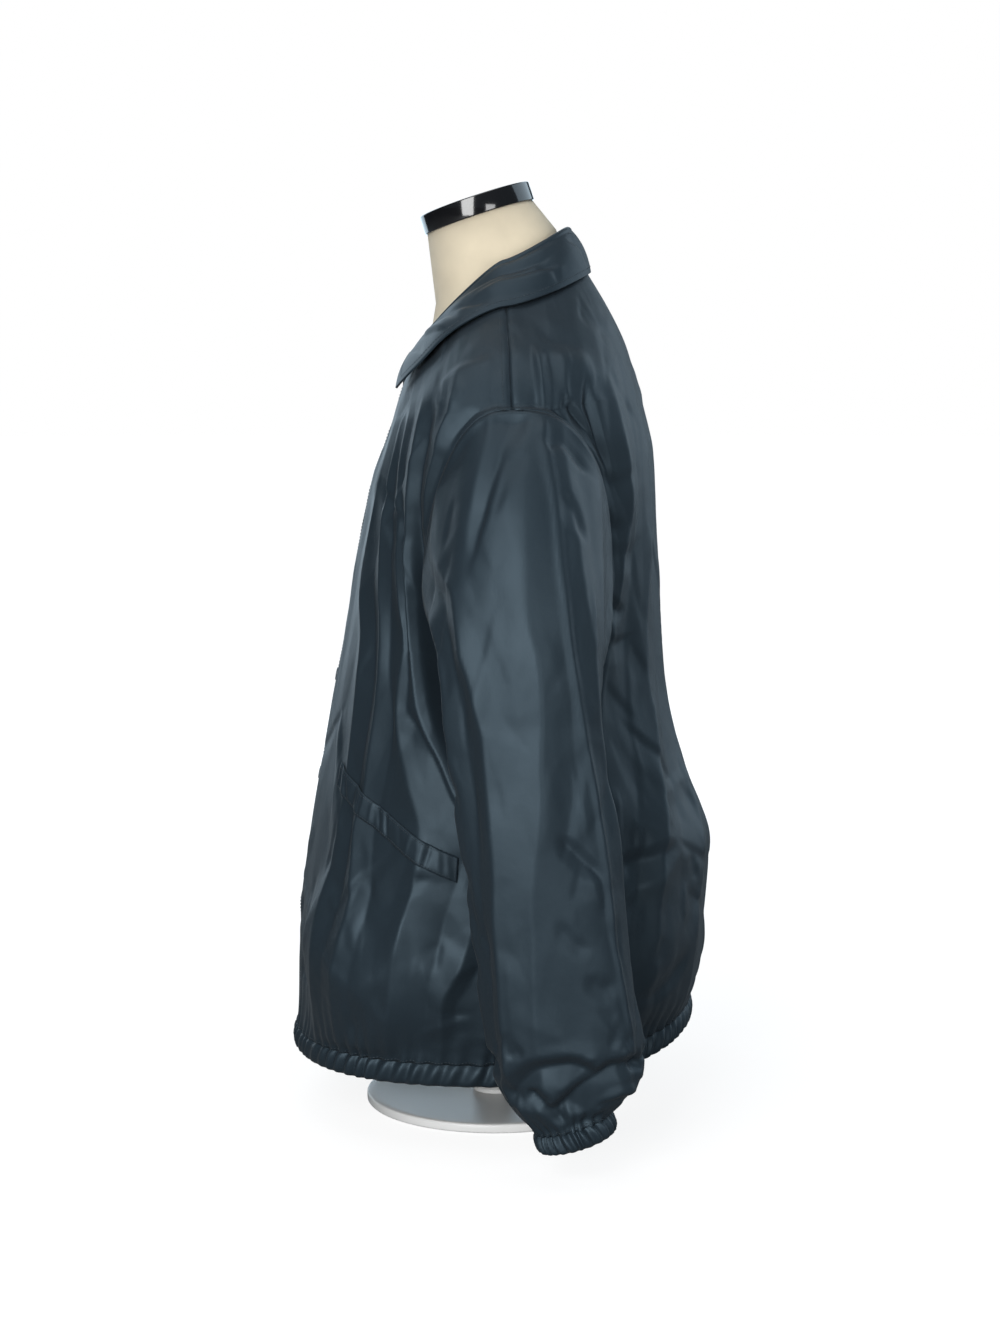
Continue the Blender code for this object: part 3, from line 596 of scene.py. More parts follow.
def dress(thing: Thing, material: Material, slot: Slot, *nodes: str) -> None:
    """Give a piece its finish and its place in the frame.

    Args:
        thing: The finished piece.
        material: Its material.
        slot: The record's slot for it; it is not used.
        nodes: The CAD nodes that it stands for.
    """
    thing.data.materials.clear()
    thing.data.materials.append(material)
    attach(thing, "root")
    if nodes:
        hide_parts(*nodes)
    LOG.info("%s: %d faces", thing.name, len(thing.data.polygons))


def cloth_piece(name: str, node: str, points: Array, cloth: Array, thickness: float,
                material: Material, closed: bool = False) -> Thing:
    """Make a piece of cloth from a grid, with its thickness, finish and place.

    Args:
        name: Name of the piece.
        node: The CAD node that it stands for.
        points: Grid of its outer points.
        cloth: UV of the grid in metres.
        thickness: Thickness of the shell.
        material: The cloth's finish.
        closed: Whether each row joins end to start.

    Returns:
        The finished piece.
    """
    thing = grid_object(name, points, cloth, closed)
    thicken(thing, thickness)
    dress(thing, material, Slot.NYLON, node)
    return thing


# Finishes

RAMP = (0.3, 0.7)  # where the colour starts and stops to change
ROUGH_SPREAD, ROUGH_SCALE = 0.12, 2.5  # share by which roughness varies, and its finer scale
GRAIN_DEPTH, WEAVE_DEPTH = 0.001, 0.0002  # of the bumps, in metres
WAVES_PER_UNIT = 10.0 / math.pi  # of a wave texture at scale 1
WEAVE_STIR = 0.4


def add_node(tree: Tree, kind: str, values: dict | None = None, links: dict | None = None,
             **settings: str) -> Node:
    """Add a shader node.

    Args:
        tree: Nodes of the material or world.
        kind: The node's type without its prefix.
        values: Constants by input.
        links: Sockets by the input that they go to.
        settings: The node's own settings.

    Returns:
        The new node.
    """
    node = tree.nodes.new("ShaderNode" + kind)
    for name, setting in settings.items():
        setattr(node, name, setting)
    for key, value in (values or {}).items():
        node.inputs[key].default_value = value
    for key, socket in (links or {}).items():
        tree.links.new(socket, node.inputs[key])
    return node


@dataclass(frozen=True)
class Finish:
    """A procedural surface."""

    name: str
    colour: Triple
    roughness: float
    tint: Triple = WHITE
    gloss: float = 0.5
    sheen: float = 0.0
    coat: float = 0.0
    mottle: float = 0.08  # share by which the colour varies
    mottle_scale: float = 9.0
    thread: float = 0.0  # spacing of the weave in metres, 0 for none
    weave: float = 0.0  # bump of the weave
    grain: float = 0.0  # bump of fine unevenness
    grain_scale: float = 60.0
    crush: float = 0.0  # bump of small sharp creases, in metres
    crush_scale: Triple = (22.0, 22.0, 7.0)

    def build(self) -> Material:
        """Make the material with its nodes.

        Returns:
            The new material.
        """
        material = bpy.data.materials.new(self.name)
        material.use_nodes = True
        tree = material.node_tree
        shader = tree.nodes["Principled BSDF"]
        shader.inputs["Specular Tint"].default_value = (*self.tint, 1.0)
        shader.inputs["Specular IOR Level"].default_value = self.gloss
        shader.inputs["Sheen Weight"].default_value = self.sheen
        shader.inputs["Coat Weight"].default_value = self.coat
        place = add_node(tree, "TexCoord")
        self._colour(tree, shader, place.outputs["Object"])
        self._roughness(tree, shader, place.outputs["Object"])
        self._bump(tree, shader, place.outputs["UV"], place.outputs["Object"])
        return material

    def _noise(self, tree: Tree, spot: Socket, scale: float, detail: float = 3.0,
               **settings: str) -> Socket:
        """Noise at a scale in waves per metre."""
        values = {"Scale": scale, "Detail": detail}
        return add_node(tree, "TexNoise", values, {"Vector": spot}, **settings).outputs["Fac"]

    def _colour(self, tree: Tree, shader: Node, spot: Socket) -> None:
        """Colour that varies softly over the surface."""
        noise = self._noise(tree, spot, self.mottle_scale, detail=4.0)
        ramp = add_node(tree, "ValToRGB", links={"Fac": noise})
        for element, position, sign in zip(ramp.color_ramp.elements, RAMP, (-1.0, 1.0)):
            element.position = position
            element.color = (*(c * (1.0 + sign * self.mottle) for c in self.colour), 1.0)
        tree.links.new(ramp.outputs["Color"], shader.inputs["Base Color"])

    def _roughness(self, tree: Tree, shader: Node, spot: Socket) -> None:
        """Roughness with slight patches."""
        noise = self._noise(tree, spot, ROUGH_SCALE * self.mottle_scale)
        low, high = (self.roughness * (1.0 + sign * ROUGH_SPREAD) for sign in (-1.0, 1.0))
        spread = add_node(tree, "MapRange", {"To Min": low, "To Max": high}, {"Value": noise})
        tree.links.new(spread.outputs["Result"], shader.inputs["Roughness"])

    def _layer(self, tree: Tree, height: Socket, under: Socket | None,
               **values: float) -> Socket:
        """Normal of a bump that lies over the one under it."""
        bump = add_node(tree, "Bump", values, {"Height": height})
        if under:
            tree.links.new(under, bump.inputs["Normal"])
        return bump.outputs["Normal"]

    def _bump(self, tree: Tree, shader: Node, cloth: Socket,
              place: Socket) -> None:
        """Small sharp creases, fine unevenness over them, and a weave of two thread directions.

        Args:
            tree: The material's nodes.
            shader: Its surface shader.
            cloth: Coordinates along the cloth.
            place: Coordinates of the object.
        """
        normal = None
        if self.crush:
            spread = add_node(tree, "Mapping", {"Scale": self.crush_scale}, {"Vector": place})
            ridges = self._noise(tree, spread.outputs["Vector"], scale=1.0, detail=2.0,
                                 noise_type="RIDGED_MULTIFRACTAL")
            normal = self._layer(tree, ridges, normal, Distance=self.crush)
        if self.grain:
            noise = self._noise(tree, place, self.grain_scale)
            normal = self._layer(tree, noise, normal, Strength=self.grain, Distance=GRAIN_DEPTH)
        if self.thread:
            both = add_node(tree, "Math", operation="MULTIPLY")
            values = {"Scale": 1.0 / (WAVES_PER_UNIT * self.thread), "Distortion": WEAVE_STIR}
            for k, direction in enumerate("XY"):
                wave = add_node(tree, "TexWave", values, {"Vector": cloth}, bands_direction=direction)
                tree.links.new(wave.outputs["Fac"], both.inputs[k])
            threads = both.outputs["Value"]
            normal = self._layer(tree, threads, normal, Strength=self.weave, Distance=WEAVE_DEPTH)
        if normal:
            tree.links.new(normal, shader.inputs["Normal"])


NYLON = Finish("navy_nylon", (0.0112, 0.0180, 0.0245), 0.50, tint=(0.62, 0.84, 1.0), gloss=0.44,
               sheen=0.02, mottle=0.06, thread=0.0006, weave=0.12, grain=0.22, grain_scale=75.0,
               crush=0.003)
THREAD = Finish("navy_thread", (0.026, 0.038, 0.048), 0.55, gloss=0.4, mottle=0.1, mottle_scale=200.0,
                grain=0.1, grain_scale=900.0)
SNAP = Finish("navy_snap", (0.018, 0.026, 0.034), 0.30, gloss=0.5, coat=0.2, grain=0.03,
              grain_scale=300.0)
LINEN = Finish("cream_linen", (0.63, 0.55, 0.41), 0.85, gloss=0.25, sheen=0.1, mottle=0.06,
               mottle_scale=25.0, thread=0.0011, weave=0.7, grain=0.15, grain_scale=220.0)
CAP = Finish("black_gloss", (0.006, 0.006, 0.007), 0.12, coat=0.6, mottle=0.2, grain=0.015,
             grain_scale=45.0)
STAND = Finish("white_paint", (0.78, 0.78, 0.77), 0.35, mottle=0.02, grain=0.03, grain_scale=400.0)


# The jacket's body

UNDERARM_V, SHOULDER_TIP_V = 0.52, 0.82
ARMHOLE_FRONT, ARMHOLE_BACK = 30.0, 36.0
ARMHOLE_WIDEST, ARMHOLE_CROWN = 0.33, 0.8
ARMHOLE_LOW, ARMHOLE_HIGH = 5.0, 7.0  # steps of the loop under and over its widest place
ARMHOLE_STEPS = ARMHOLE_LOW + ARMHOLE_HIGH
ARMHOLE_POINTS = 25  # of the seam line on either side
BODY_RADIUS, BODY_LONG = 0.200, 0.70  # measures by which places on the cloth become metres
SLEEVE_RADIUS, SLEEVE_LONG = 0.062, 0.62
BODY_SCALE = np.array([math.radians(1.0) * BODY_RADIUS, BODY_LONG])
SLEEVE_SCALE = np.array([math.radians(1.0) * SLEEVE_RADIUS, SLEEVE_LONG])
OVERLAP, UNDERLAP = 6.0, 4.0  # degrees that the fronts pass the centre
WELT_FRONT, WELT_BACK = (31.0, 0.350), (79.0, 0.250)
BLOUSE = 0.022  # how far the cloth swells out over the hem
CLOTH = 0.0007  # thickness of the shells
TUCK_WIDE = 14.0  # degrees over which the right front slips under the left
RIGHT_SEED, SLEEVE_SEED = 41, 53  # of the creases on the hidden side
# Facets: where those of the lower part begin, and where all are calmer at front and back
LOW_PART = Fade(0.36, -0.10)
CALM_FRONT, CALM_BACK, CALM_SHARE = Fade(10.0, 30.0), Fade(130.0, 40.0), 0.6
# How the creases fade out at the armhole, the hem and the neck, in metres
HOLE_EDGE, HEM_EDGE, NECK_EDGE = Fade(0.0, 0.009), Fade(0.0, 0.016), Fade(0.0, 0.05)
FOLDS_END = Fade(0.90, -0.09)
# Where the cloth swells out over the hem: not at the sides, and at this height
BLOUSE_GAP, BLOUSE_HEIGHT, BLOUSE_START = Bell(92.0, 20.0), Bell(0.085, 0.055), Fade(0.0, 0.05)
# Wander of the fold lines: degrees, waves along and degrees round
BODY_WANDER = ((0.35, 19.0, 7.0), (0.2, 47.0, -5.0))
# How the folds of the hidden side differ in angle, place and height: amount and waves
HIDDEN_ANGLE, HIDDEN_PLACE, HIDDEN_HEIGHT = (4.0, 3.0), (0.025, 4.0), (0.15, 5.0, 9.0)
# Seams: their dip and width, and the height, pitch, wander, swell and reach of their puckers
SEAM_DIP, SEAM_WIDE = -0.0012, 0.003
PUCKER_HIGH, PUCKER_PITCH, PUCKER_STRAY, PUCKER_SWELL, PUCKER_REACH = 0.0006, 0.0165, 0.031, 0.083, 0.010
PUCKER_WANDER, PUCKER_UNEVEN = 2.0, 0.6
EASE_REACH = Bell(0.0, 0.035)
# Ease over the armhole seam: share of the way from the shoulder tip, first down the front, and lift
ARMHOLE_EASE = ((0.0, 0.0), (0.12, 0.003), (0.25, 0.004), (0.4, 0.0), (0.6, 0.0), (0.72, 0.004),
                (0.84, 0.005), (0.93, 0.003), (1.0, 0.0))

# Fold lines of the wearer's left side, from the centre front to the centre back: v, angle, height
BODY_FOLDS = (
    ((0.0, 0, 0), (1.0, 0, 0)),
    ((0.0, 8, 0), (0.1, 7, 2), (0.3, 8, 2), (0.6, 6, 1), (0.87, 8, 0)),
    ((0.0, 16, 0), (0.08, 14, -3), (0.2, 17, -4), (0.35, 16, -3), (0.5, 13, -3), (0.65, 11, -3),
     (0.87, 14, 0)),
    ((0.0, 30, 0), (0.08, 34, 3), (0.12, 36, 4), (0.2, 34, 3), (0.3, 36, 4), (0.39, 35, 5),
     (0.52, 31, 5), (0.615, 24, 5), (0.69, 25, 4), (0.78, 24, 3), (0.87, 22, 0)),
    ((0.0, 36, 0), (0.12, 41, -3), (0.2, 42, -3), (0.285, 41, -2), (0.36, 42, -3), (0.425, 42, -4),
     (0.525, 37, -5), (0.62, 31, -4), (0.71, 31, -4), (0.8, 28, -2), (0.87, 27, 0)),
    ((0.0, 42, 0), (0.09, 46, 2), (0.2, 47.5, 7), (0.285, 44, 7), (0.34, 46, 4), (0.4, 46, 4),
     (0.48, 45, 4), (0.55, 41.5, 4), (0.605, 37, 4), (0.665, 35.5, 4), (0.78, 32, 3),
     (0.87, 31, 0)),
    ((0.0, 50, 0), (0.09, 52, -2), (0.17, 52.5, -6), (0.215, 53, -8), (0.295, 51, -6),
     (0.35, 53, -4), (0.405, 54, -5), (0.505, 47.5, -5), (0.58, 43.5, -4), (0.655, 40.5, -4),
     (0.78, 35.5, -2), (0.87, 35, 0)),
    ((0.0, 62, 0), (0.09, 63, 7), (0.175, 66, 8), (0.23, 68, 7), (0.29, 68, 3), (0.36, 62, 4),
     (0.4, 58, 4), (0.43, 55.5, 4), (0.46, 54, 2), (0.52, 54, 2), (0.58, 49, 3), (0.63, 45.5, 3),
     (0.71, 42, 3), (0.795, 38, 2), (0.87, 38, 0)),
    ((0.0, 72, 0), (0.09, 73, -5), (0.175, 76, -6), (0.23, 79, -6), (0.29, 81, -4), (0.325, 78, -6),
     (0.385, 71, -6), (0.43, 63, -5), (0.45, 58, -4), (0.485, 57.5, -3), (0.56, 53, -3),
     (0.62, 49.5, -3), (0.685, 46, -3), (0.78, 42, -3), (0.87, 42, 0)),
    ((0.0, 76, 0), (0.085, 77, 3), (0.14, 82, 3), (0.23, 84, 1), (0.3, 82, 0), (0.365, 73, 1),
     (0.44, 63.5, 3), (0.515, 57.5, 4), (0.575, 53.8, 5), (0.635, 51, 5), (0.71, 50, 4),
     (0.79, 48, 4), (0.87, 47, 0)),
    ((0.0, 78, 0), (0.085, 78.7, -1), (0.14, 83.8, -0.5), (0.23, 85.5, -0.5), (0.3, 83.8, -2),
     (0.365, 76, -3), (0.44, 67.5, -6), (0.515, 60.6, -9), (0.575, 56.4, -9), (0.635, 53.4, -7),
     (0.71, 52, -4), (0.79, 50.5, -2), (0.87, 50.5, 0)),
    ((0.0, 80, 0), (0.085, 80.5, -5), (0.11, 83.5, -5), (0.135, 85.5, -4), (0.23, 87, -2),
     (0.3, 85.5, -4), (0.365, 79, -9), (0.44, 71, -34), (0.515, 63.2, -45), (0.575, 58.4, -37),
     (0.635, 55.2, -26), (0.71, 54, -13), (0.79, 53, -8), (0.87, 54, 0)),
    ((0.0, 92, 0), (0.1, 92, 2), (0.25, 90.5, 2), (0.365, 87, -6), (0.44, 80, -32),
     (0.515, 70, -43), (0.575, 62.6, -30), (0.635, 59, -14), (0.71, 59, 0), (0.79, 62, 4),
     (0.83, 66, 3), (0.87, 70, 0)),
    ((0.0, 102, 0), (0.15, 104, -3), (0.3, 106, -3), (0.45, 108, -3), (0.52, 112, -3),
     (0.63, 128, -4), (0.695, 131, -5), (0.735, 133, -5), (0.8, 130, -4), (0.87, 126, 0)),
    ((0.0, 110, 0), (0.12, 112, 3), (0.25, 117, 4), (0.4, 118, 3), (0.47, 121, 3), (0.54, 127, 3),
     (0.63, 133, 4), (0.695, 138, 4), (0.8, 137, 3), (0.87, 134, 0)),
    ((0.0, 120, 0), (0.1, 121, -4), (0.2, 123, -5), (0.25, 126, -6), (0.37, 132, -5),
     (0.47, 134, -5), (0.54, 136, -5), (0.63, 142, -5), (0.695, 146, -5), (0.8, 145, -4),
     (0.87, 143, 0)),
    ((0.0, 128, 0), (0.1, 130, 3), (0.26, 134, 6), (0.37, 143, 7), (0.475, 148, 6), (0.54, 148, 5),
     (0.63, 152, 5), (0.695, 156, 4), (0.8, 156, 3), (0.87, 154, 0)),
    ((0.0, 138, 0), (0.1, 140, -4), (0.26, 146, -5), (0.37, 154, -6), (0.475, 160, -5),
     (0.56, 160, -4), (0.7, 163, -4), (0.8, 164, -2), (0.87, 164, 0)),
    ((0.0, 150, 0), (0.1, 152, 4), (0.26, 160, 4), (0.4, 168, 5), (0.56, 169, 4), (0.72, 171, 3),
     (0.87, 171, 0)),
    ((0.0, 165, 0), (0.1, 167, -4), (0.26, 172, -4), (0.4, 176, -3), (0.56, 175.5, -3),
     (0.72, 176.5, -2), (0.87, 176, 0)),
    ((0.0, 180, 0), (0.1, 180, 2), (0.3, 180, 3), (0.6, 180, 2), (0.87, 180, 0)),
)

# Short creases of the wearer's left side: path, height, width of either side, crest
LEFT_CREASES = (
    Crease(((88, 0.878), (72, 0.87), (56, 0.86)), 0.004, 0.018, 0.01, 0.1, 0.3, 0.4),
    Crease(((46, 0.03), (57, 0.075), (64, 0.13)), -0.004, 0.014, 0.016, 0.15),
    Crease(((30, 0.06), (20, 0.09), (8, 0.08)), -0.0035, 0.012, 0.014, 0.15),
    Crease(((16, 0.125), (32, 0.135), (48, 0.1), (66, 0.12)), 0.009, 0.05, 0.075, 0.25, 0.25, 0.25),
    Crease(((114, 0.25), (129, 0.262), (145, 0.29)), -0.005, 0.012, 0.02, 0.12, 0.3, 0.4),
    Crease(((150, 0.12), (138, 0.085), (124, 0.07)), -0.0045, 0.012, 0.016, 0.12),
    Crease(((99, 0.905), (101, 0.865), (102.5, 0.81)), 0.0055, 0.016, 0.009, 0.04, 0.35, 0.02),
    Crease(((104, 0.885), (116, 0.872), (130, 0.85)), 0.004, 0.016, 0.016, 0.12),
    Crease(((100, 0.94), (112, 0.9), (126, 0.885)), -0.0025, 0.016, 0.014, 0.15),
    Crease(((110, 0.84), (120, 0.8), (128, 0.75)), -0.006, 0.006, 0.014, 0.06, 0.15, 0.5),
    Crease(((122, 0.86), (126, 0.79), (130, 0.71)), -0.0065, 0.007, 0.012, 0.06, 0.3, 0.4),
    Crease(((122, 0.738), (132, 0.722), (147, 0.742)), -0.0024, 0.006, 0.016, 0.1, 0.1, 0.6),
    Crease(((124, 0.688), (131, 0.672), (138, 0.678)), -0.0034, 0.006, 0.012, 0.08, 0.1, 0.6),
    Crease(((125, 0.652), (137, 0.64), (152, 0.662)), -0.0018, 0.008, 0.016, 0.1, 0.1, 0.6),
    Crease(((124, 0.595), (130, 0.578), (137, 0.574)), -0.004, 0.005, 0.014, 0.08, 0.1, 0.6),
    Crease(((118, 0.558), (129, 0.535), (145, 0.548)), -0.0022, 0.006, 0.016, 0.1, 0.1, 0.6),
    Crease(((62, 0.61), (54, 0.585), (46, 0.59)), -0.0012, 0.007, 0.012, 0.1, 0.1, 0.6),
    Crease(((63, 0.7), (55, 0.69), (47, 0.7)), -0.001, 0.008, 0.014, 0.1, 0.1, 0.6),
)
BODY_CRUMPLES = (
    Crumple(3, 110, (-90.0, 270.0), (0.3, 0.86), -12.0, 26.0, (0.04, 0.15), (0.0006, 0.0022)),
    Crumple(5, 150, (-90.0, 270.0), (0.03, 0.3), 8.0, 45.0, (0.03, 0.1), (0.0006, 0.0019)),
    Crumple(7, 30, (-90.0, 270.0), (0.8, 0.96), 70.0, 40.0, (0.03, 0.1), (0.0006, 0.002)),
)
BODY_FACETS = (Facets(2, (0.048, 0.100), 0.0026), Facets(9, (0.034, 0.050), 0.0014))
LOW_FACETS = (Facets(6, (0.046, 0.060), 0.0027), Facets(4, (0.030, 0.034), 0.0010))
HEM_GATHERS = Gathers(11, 84, 0.0018)
CUFF_GATHERS = Gathers(23, 26, 0.0017)


def armhole_bite(v: Array) -> Array:
    """Share of the widest bite that the armhole takes out of the ring at v."""
    share = np.clip((v - UNDERARM_V) / (SHOULDER_TIP_V - UNDERARM_V), 0.0, 1.0)
    low = np.sqrt(np.clip(1.0 - (1.0 - share / ARMHOLE_WIDEST) ** 2, 0.0, 1.0))
    up = np.clip((share - ARMHOLE_WIDEST) / (1.0 - ARMHOLE_WIDEST), 0.0, 1.0)
    return np.where(share < ARMHOLE_WIDEST, low, (1.0 - up * up) ** (0.5 * ARMHOLE_CROWN))


def armhole_v(step: Array) -> Array:
    """Height v of the armhole at a step up from the underarm."""
    quarter = 0.5 * math.pi
    low = ARMHOLE_WIDEST * (1.0 - np.cos(quarter * np.minimum(step, ARMHOLE_LOW) / ARMHOLE_LOW))
    high = (1.0 - ARMHOLE_WIDEST) * np.sin(quarter * np.maximum(step - ARMHOLE_LOW, 0.0) / ARMHOLE_HIGH)
    return UNDERARM_V + (SHOULDER_TIP_V - UNDERARM_V) * (low + high)


def from_front(angle: Array) -> Array:
    """Angle from the centre front, the same on both sides."""
    return np.where(angle > 180.0, 360.0 - angle, np.abs(angle))


def puckers(turn: Array, stray: Array, swell: Array, gap: Array, reach: float) -> Array:
    """Uneven puckers beside a seam.

    Args:
        turn: Phase of the puckers.
        stray: Phase of the wander in their spacing.
        swell: Phase of the change in their height.
        gap: Way from the seam.
        reach: How far they run into the cloth.

    Returns:
        Their height at each place, as a factor.
    """
    uneven = 1.0 + PUCKER_UNEVEN * np.sin(swell)
    wave = np.cos(turn + PUCKER_WANDER * np.sin(stray)) * uneven
    return wave * np.exp(-gap / reach) * rise(gap / SEAM_WIDE)


class Body:
    """Surface of the jacket's body with all its creases."""

    def __init__(self) -> None:
        """Place the creases and the seams."""
        self.plain = RingStack(BODY_RINGS)
        draw = np.random.default_rng(RIGHT_SEED)
        self.left = LEFT_CREASES
        self.right = tuple(crease.varied(draw) for crease in LEFT_CREASES)
        self.fine = [c for crumple in BODY_CRUMPLES for c in crumple.creases(BODY_SCALE)]
        self.folds = FoldSet(BODY_FOLDS, BODY_RADIUS, soft=0.0016, strength=0.7)
        v = armhole_v(np.linspace(0.0, ARMHOLE_STEPS, ARMHOLE_POINTS))
        front, back = (np.stack([90.0 + bite * armhole_bite(v), v], -1)
                       for bite in (-ARMHOLE_FRONT, ARMHOLE_BACK))
        self.armhole = np.concatenate([front[::-1], back[1:]]) * BODY_SCALE
        legs = np.linalg.norm(np.diff(self.armhole, axis=0), axis=1)
        self.armhole_long = legs.sum()
        self.armhole_run = np.concatenate(([0.0], np.cumsum(legs))) / self.armhole_long
        self.side_seam = np.array([[90.0, 0.0], [90.0, UNDERARM_V]]) * BODY_SCALE
        self.shoulder_seam = np.array([[90.0, SHOULDER_TIP_V], [90.0, 1.0]]) * BODY_SCALE

    def lift(self, angle: Array, v: Array) -> Array:
        """How far the cloth stands off the plain body.

        Args:
            angle: Angles in degrees, from -90 over the front to 270 over the back.
            v: Places from hem to neck.

        Returns:
            The lift at each place, in metres.
        """
        half, mirrored = from_front(angle), np.where(angle >= 90.0, 360.0 - angle, -angle)
        spots, other, folded = (np.stack([a, v], -1) * BODY_SCALE for a in (angle, mirrored, half))
        total = self.fold_lift(angle, v)
        low = LOW_PART.at(v)
        calm = CALM_FRONT.at(half) * (1.0 - CALM_SHARE * CALM_BACK.at(half))
        for share, patches in ((1.0 - low, BODY_FACETS), (low, LOW_FACETS)):
            total += calm * share * sum(facets.lift(spots) for facets in patches)
        for creases, places in ((self.left, spots), (self.right, other), (self.fine, spots)):
            for crease in creases:
                total += crease.lift(places, BODY_SCALE)
        hole, _, run = nearest(folded, self.armhole)
        height, top = v * BODY_LONG, (1.0 - v) * BODY_LONG
        total *= HOLE_EDGE.at(hole) * HEM_EDGE.at(height) * NECK_EDGE.at(top)
        total += self.armhole_ease(run / self.armhole_long) * EASE_REACH.at(hole)
        around = np.sin(np.radians(angle)) ** 2 * (1.0 - BLOUSE_GAP.at(half))
        total += BLOUSE * around * BLOUSE_HEIGHT.at(height) * BLOUSE_START.at(height)
        for seam in (self.side_seam, self.shoulder_seam):
            total += self.seam_relief(folded, seam)
        return total + HEM_GATHERS.relief((angle + OVERLAP) / 360.0, height)

    def armhole_ease(self, share: Array) -> Array:
        """How far the cloth eases out over the armhole seam, at a share of the way round it."""
        return through(*zip(*ARMHOLE_EASE), share)

    def fold_lift(self, angle: Array, v: Array) -> Array:
        """Lift of the long folds; those of the hidden side are similar, with their lines moved.

        Args:
            angle: Angles in degrees.
            v: Places from hem to neck.

        Returns:
            The lift at each place, in metres.
        """
        shown = (angle >= 0.0) & (angle <= 180.0)
        half = from_front(angle)
        around = np.radians(half)
        moved = half + HIDDEN_ANGLE[0] * np.sin(HIDDEN_ANGLE[1] * around)
        along = v + HIDDEN_PLACE[0] * np.sin(HIDDEN_PLACE[1] * around + 1.0)
        share, turns, waves = HIDDEN_HEIGHT
        strength = 1.0 - share + share * np.sin(turns * around) * np.sin(waves * v)
        wander = sum(far * np.sin(waves * v + half / degrees) for far, waves, degrees in BODY_WANDER)
        place = np.where(shown, half, moved) + wander * np.sin(around)
        lift = self.folds.lift(place, np.where(shown, v, along))
        return lift * np.where(shown, 1.0, strength) * FOLDS_END.at(v)

    def seam_relief(self, spots: Array, line: Array) -> Array:
        """Dip along a seam, and its puckers."""
        gap, _, run = nearest(spots, line)
        beside = puckers(TURN * run / PUCKER_PITCH, run / PUCKER_STRAY, TURN * run / PUCKER_SWELL + 1.0,
                         gap, PUCKER_REACH)
        return SEAM_DIP * Bell(0.0, SEAM_WIDE).at(gap) + PUCKER_HIGH * beside

    def surface(self, angle: Array, v: Array, lift: Array | float = 0.0) -> Array:
        """Points of the creased cloth.

        Args:
            angle: Angles in degrees.
            v: Places from hem to neck.
            lift: Further lift in metres.

        Returns:
            Points, in the last axis.
        """
        shape = np.broadcast(angle, v).shape
        a, p = (np.broadcast_to(x, shape).ravel().astype(float) for x in (angle, v))
        more = np.broadcast_to(lift, shape).ravel()
        points = self.plain.point(a, p) + self.plain.normal(a, p) * (self.lift(a, p) + more)[:, None]
        return points.reshape(*shape, 3)


class Edge(NamedTuple):
    """Edge of a panel: the angle of its seam and the armhole's bite into it."""

    seam: float
    bite: float


@dataclass(frozen=True)
class Panel:
    """One body panel, cut between two edges."""

    name: str
    first: Edge
    last: Edge
    columns: int
    flat: Pair
    area: float
    tuck: float = 0.0
    low_rows: int = 116
    armhole_rows: int = 76
    top_rows: int = 34
    bend: float = 2.4

    def places(self) -> tuple[Array, Array]:
        """Places of the panel's grid.

        Returns:
            Angles and v, rows by columns.
        """
        steps = np.linspace(0.0, ARMHOLE_STEPS, self.armhole_rows + 1)
        low = np.linspace(0.0, UNDERARM_V, self.low_rows + 1)[:-1]
        top = np.linspace(SHOULDER_TIP_V, 1.0, self.top_rows + 1)[1:]
        edge = np.concatenate([low, armhole_v(steps), top])[:, None]
        even = np.linspace(UNDERARM_V, SHOULDER_TIP_V, self.armhole_rows + 1)
        middle = np.concatenate([low, even, top])[:, None]
        share = np.linspace(0.0, 1.0, self.columns + 1)[None, :]
        angle = self.first.seam + (self.last.seam - self.first.seam) * share + 0.0 * edge
        v = middle + 0.0 * share
        for side, near in ((self.first, 1.0 - share), (self.last, share)):
            pull = near ** self.bend
            angle = angle + pull * side.bite * armhole_bite(edge)
            if side.bite:
                v = v + pull * (edge - middle)
        return angle, v

    def build(self, body: Body, material: Material) -> Thing:
        """Make the panel as a thin shell and dress it.

        Args:
            body: The creased body.
            material: The cloth's finish.

        Returns:
            The finished panel.
        """
        angle, v = self.places()
        inset = self.tuck * rise((angle + OVERLAP + TUCK_WIDE) / TUCK_WIDE)
        points = body.surface(angle, v, -inset)
        cloth = np.stack([angle, v], -1) * BODY_SCALE
        return cloth_piece(self.name + "_cloth", self.name, points, cloth, CLOTH, material)


PANELS = (
    Panel("front_left", Edge(-OVERLAP, 0.0), Edge(90.0, -ARMHOLE_FRONT), 188, (0.37, 0.76), 0.238),
    Panel("front_right", Edge(-90.0, ARMHOLE_FRONT), Edge(UNDERLAP, 0.0), 168, (0.36, 0.76), 0.230,
          tuck=0.0022),
    Panel("back", Edge(90.0, ARMHOLE_BACK), Edge(270.0, -ARMHOLE_BACK), 208, (0.66, 0.78), 0.445),
)


# Sleeves

class Tube(NamedTuple):
    """One ring of a sleeve."""

    t: float
    x_mid: float
    y_mid: float
    z_mid: float
    half_x: float
    half_y: float
    lean: float


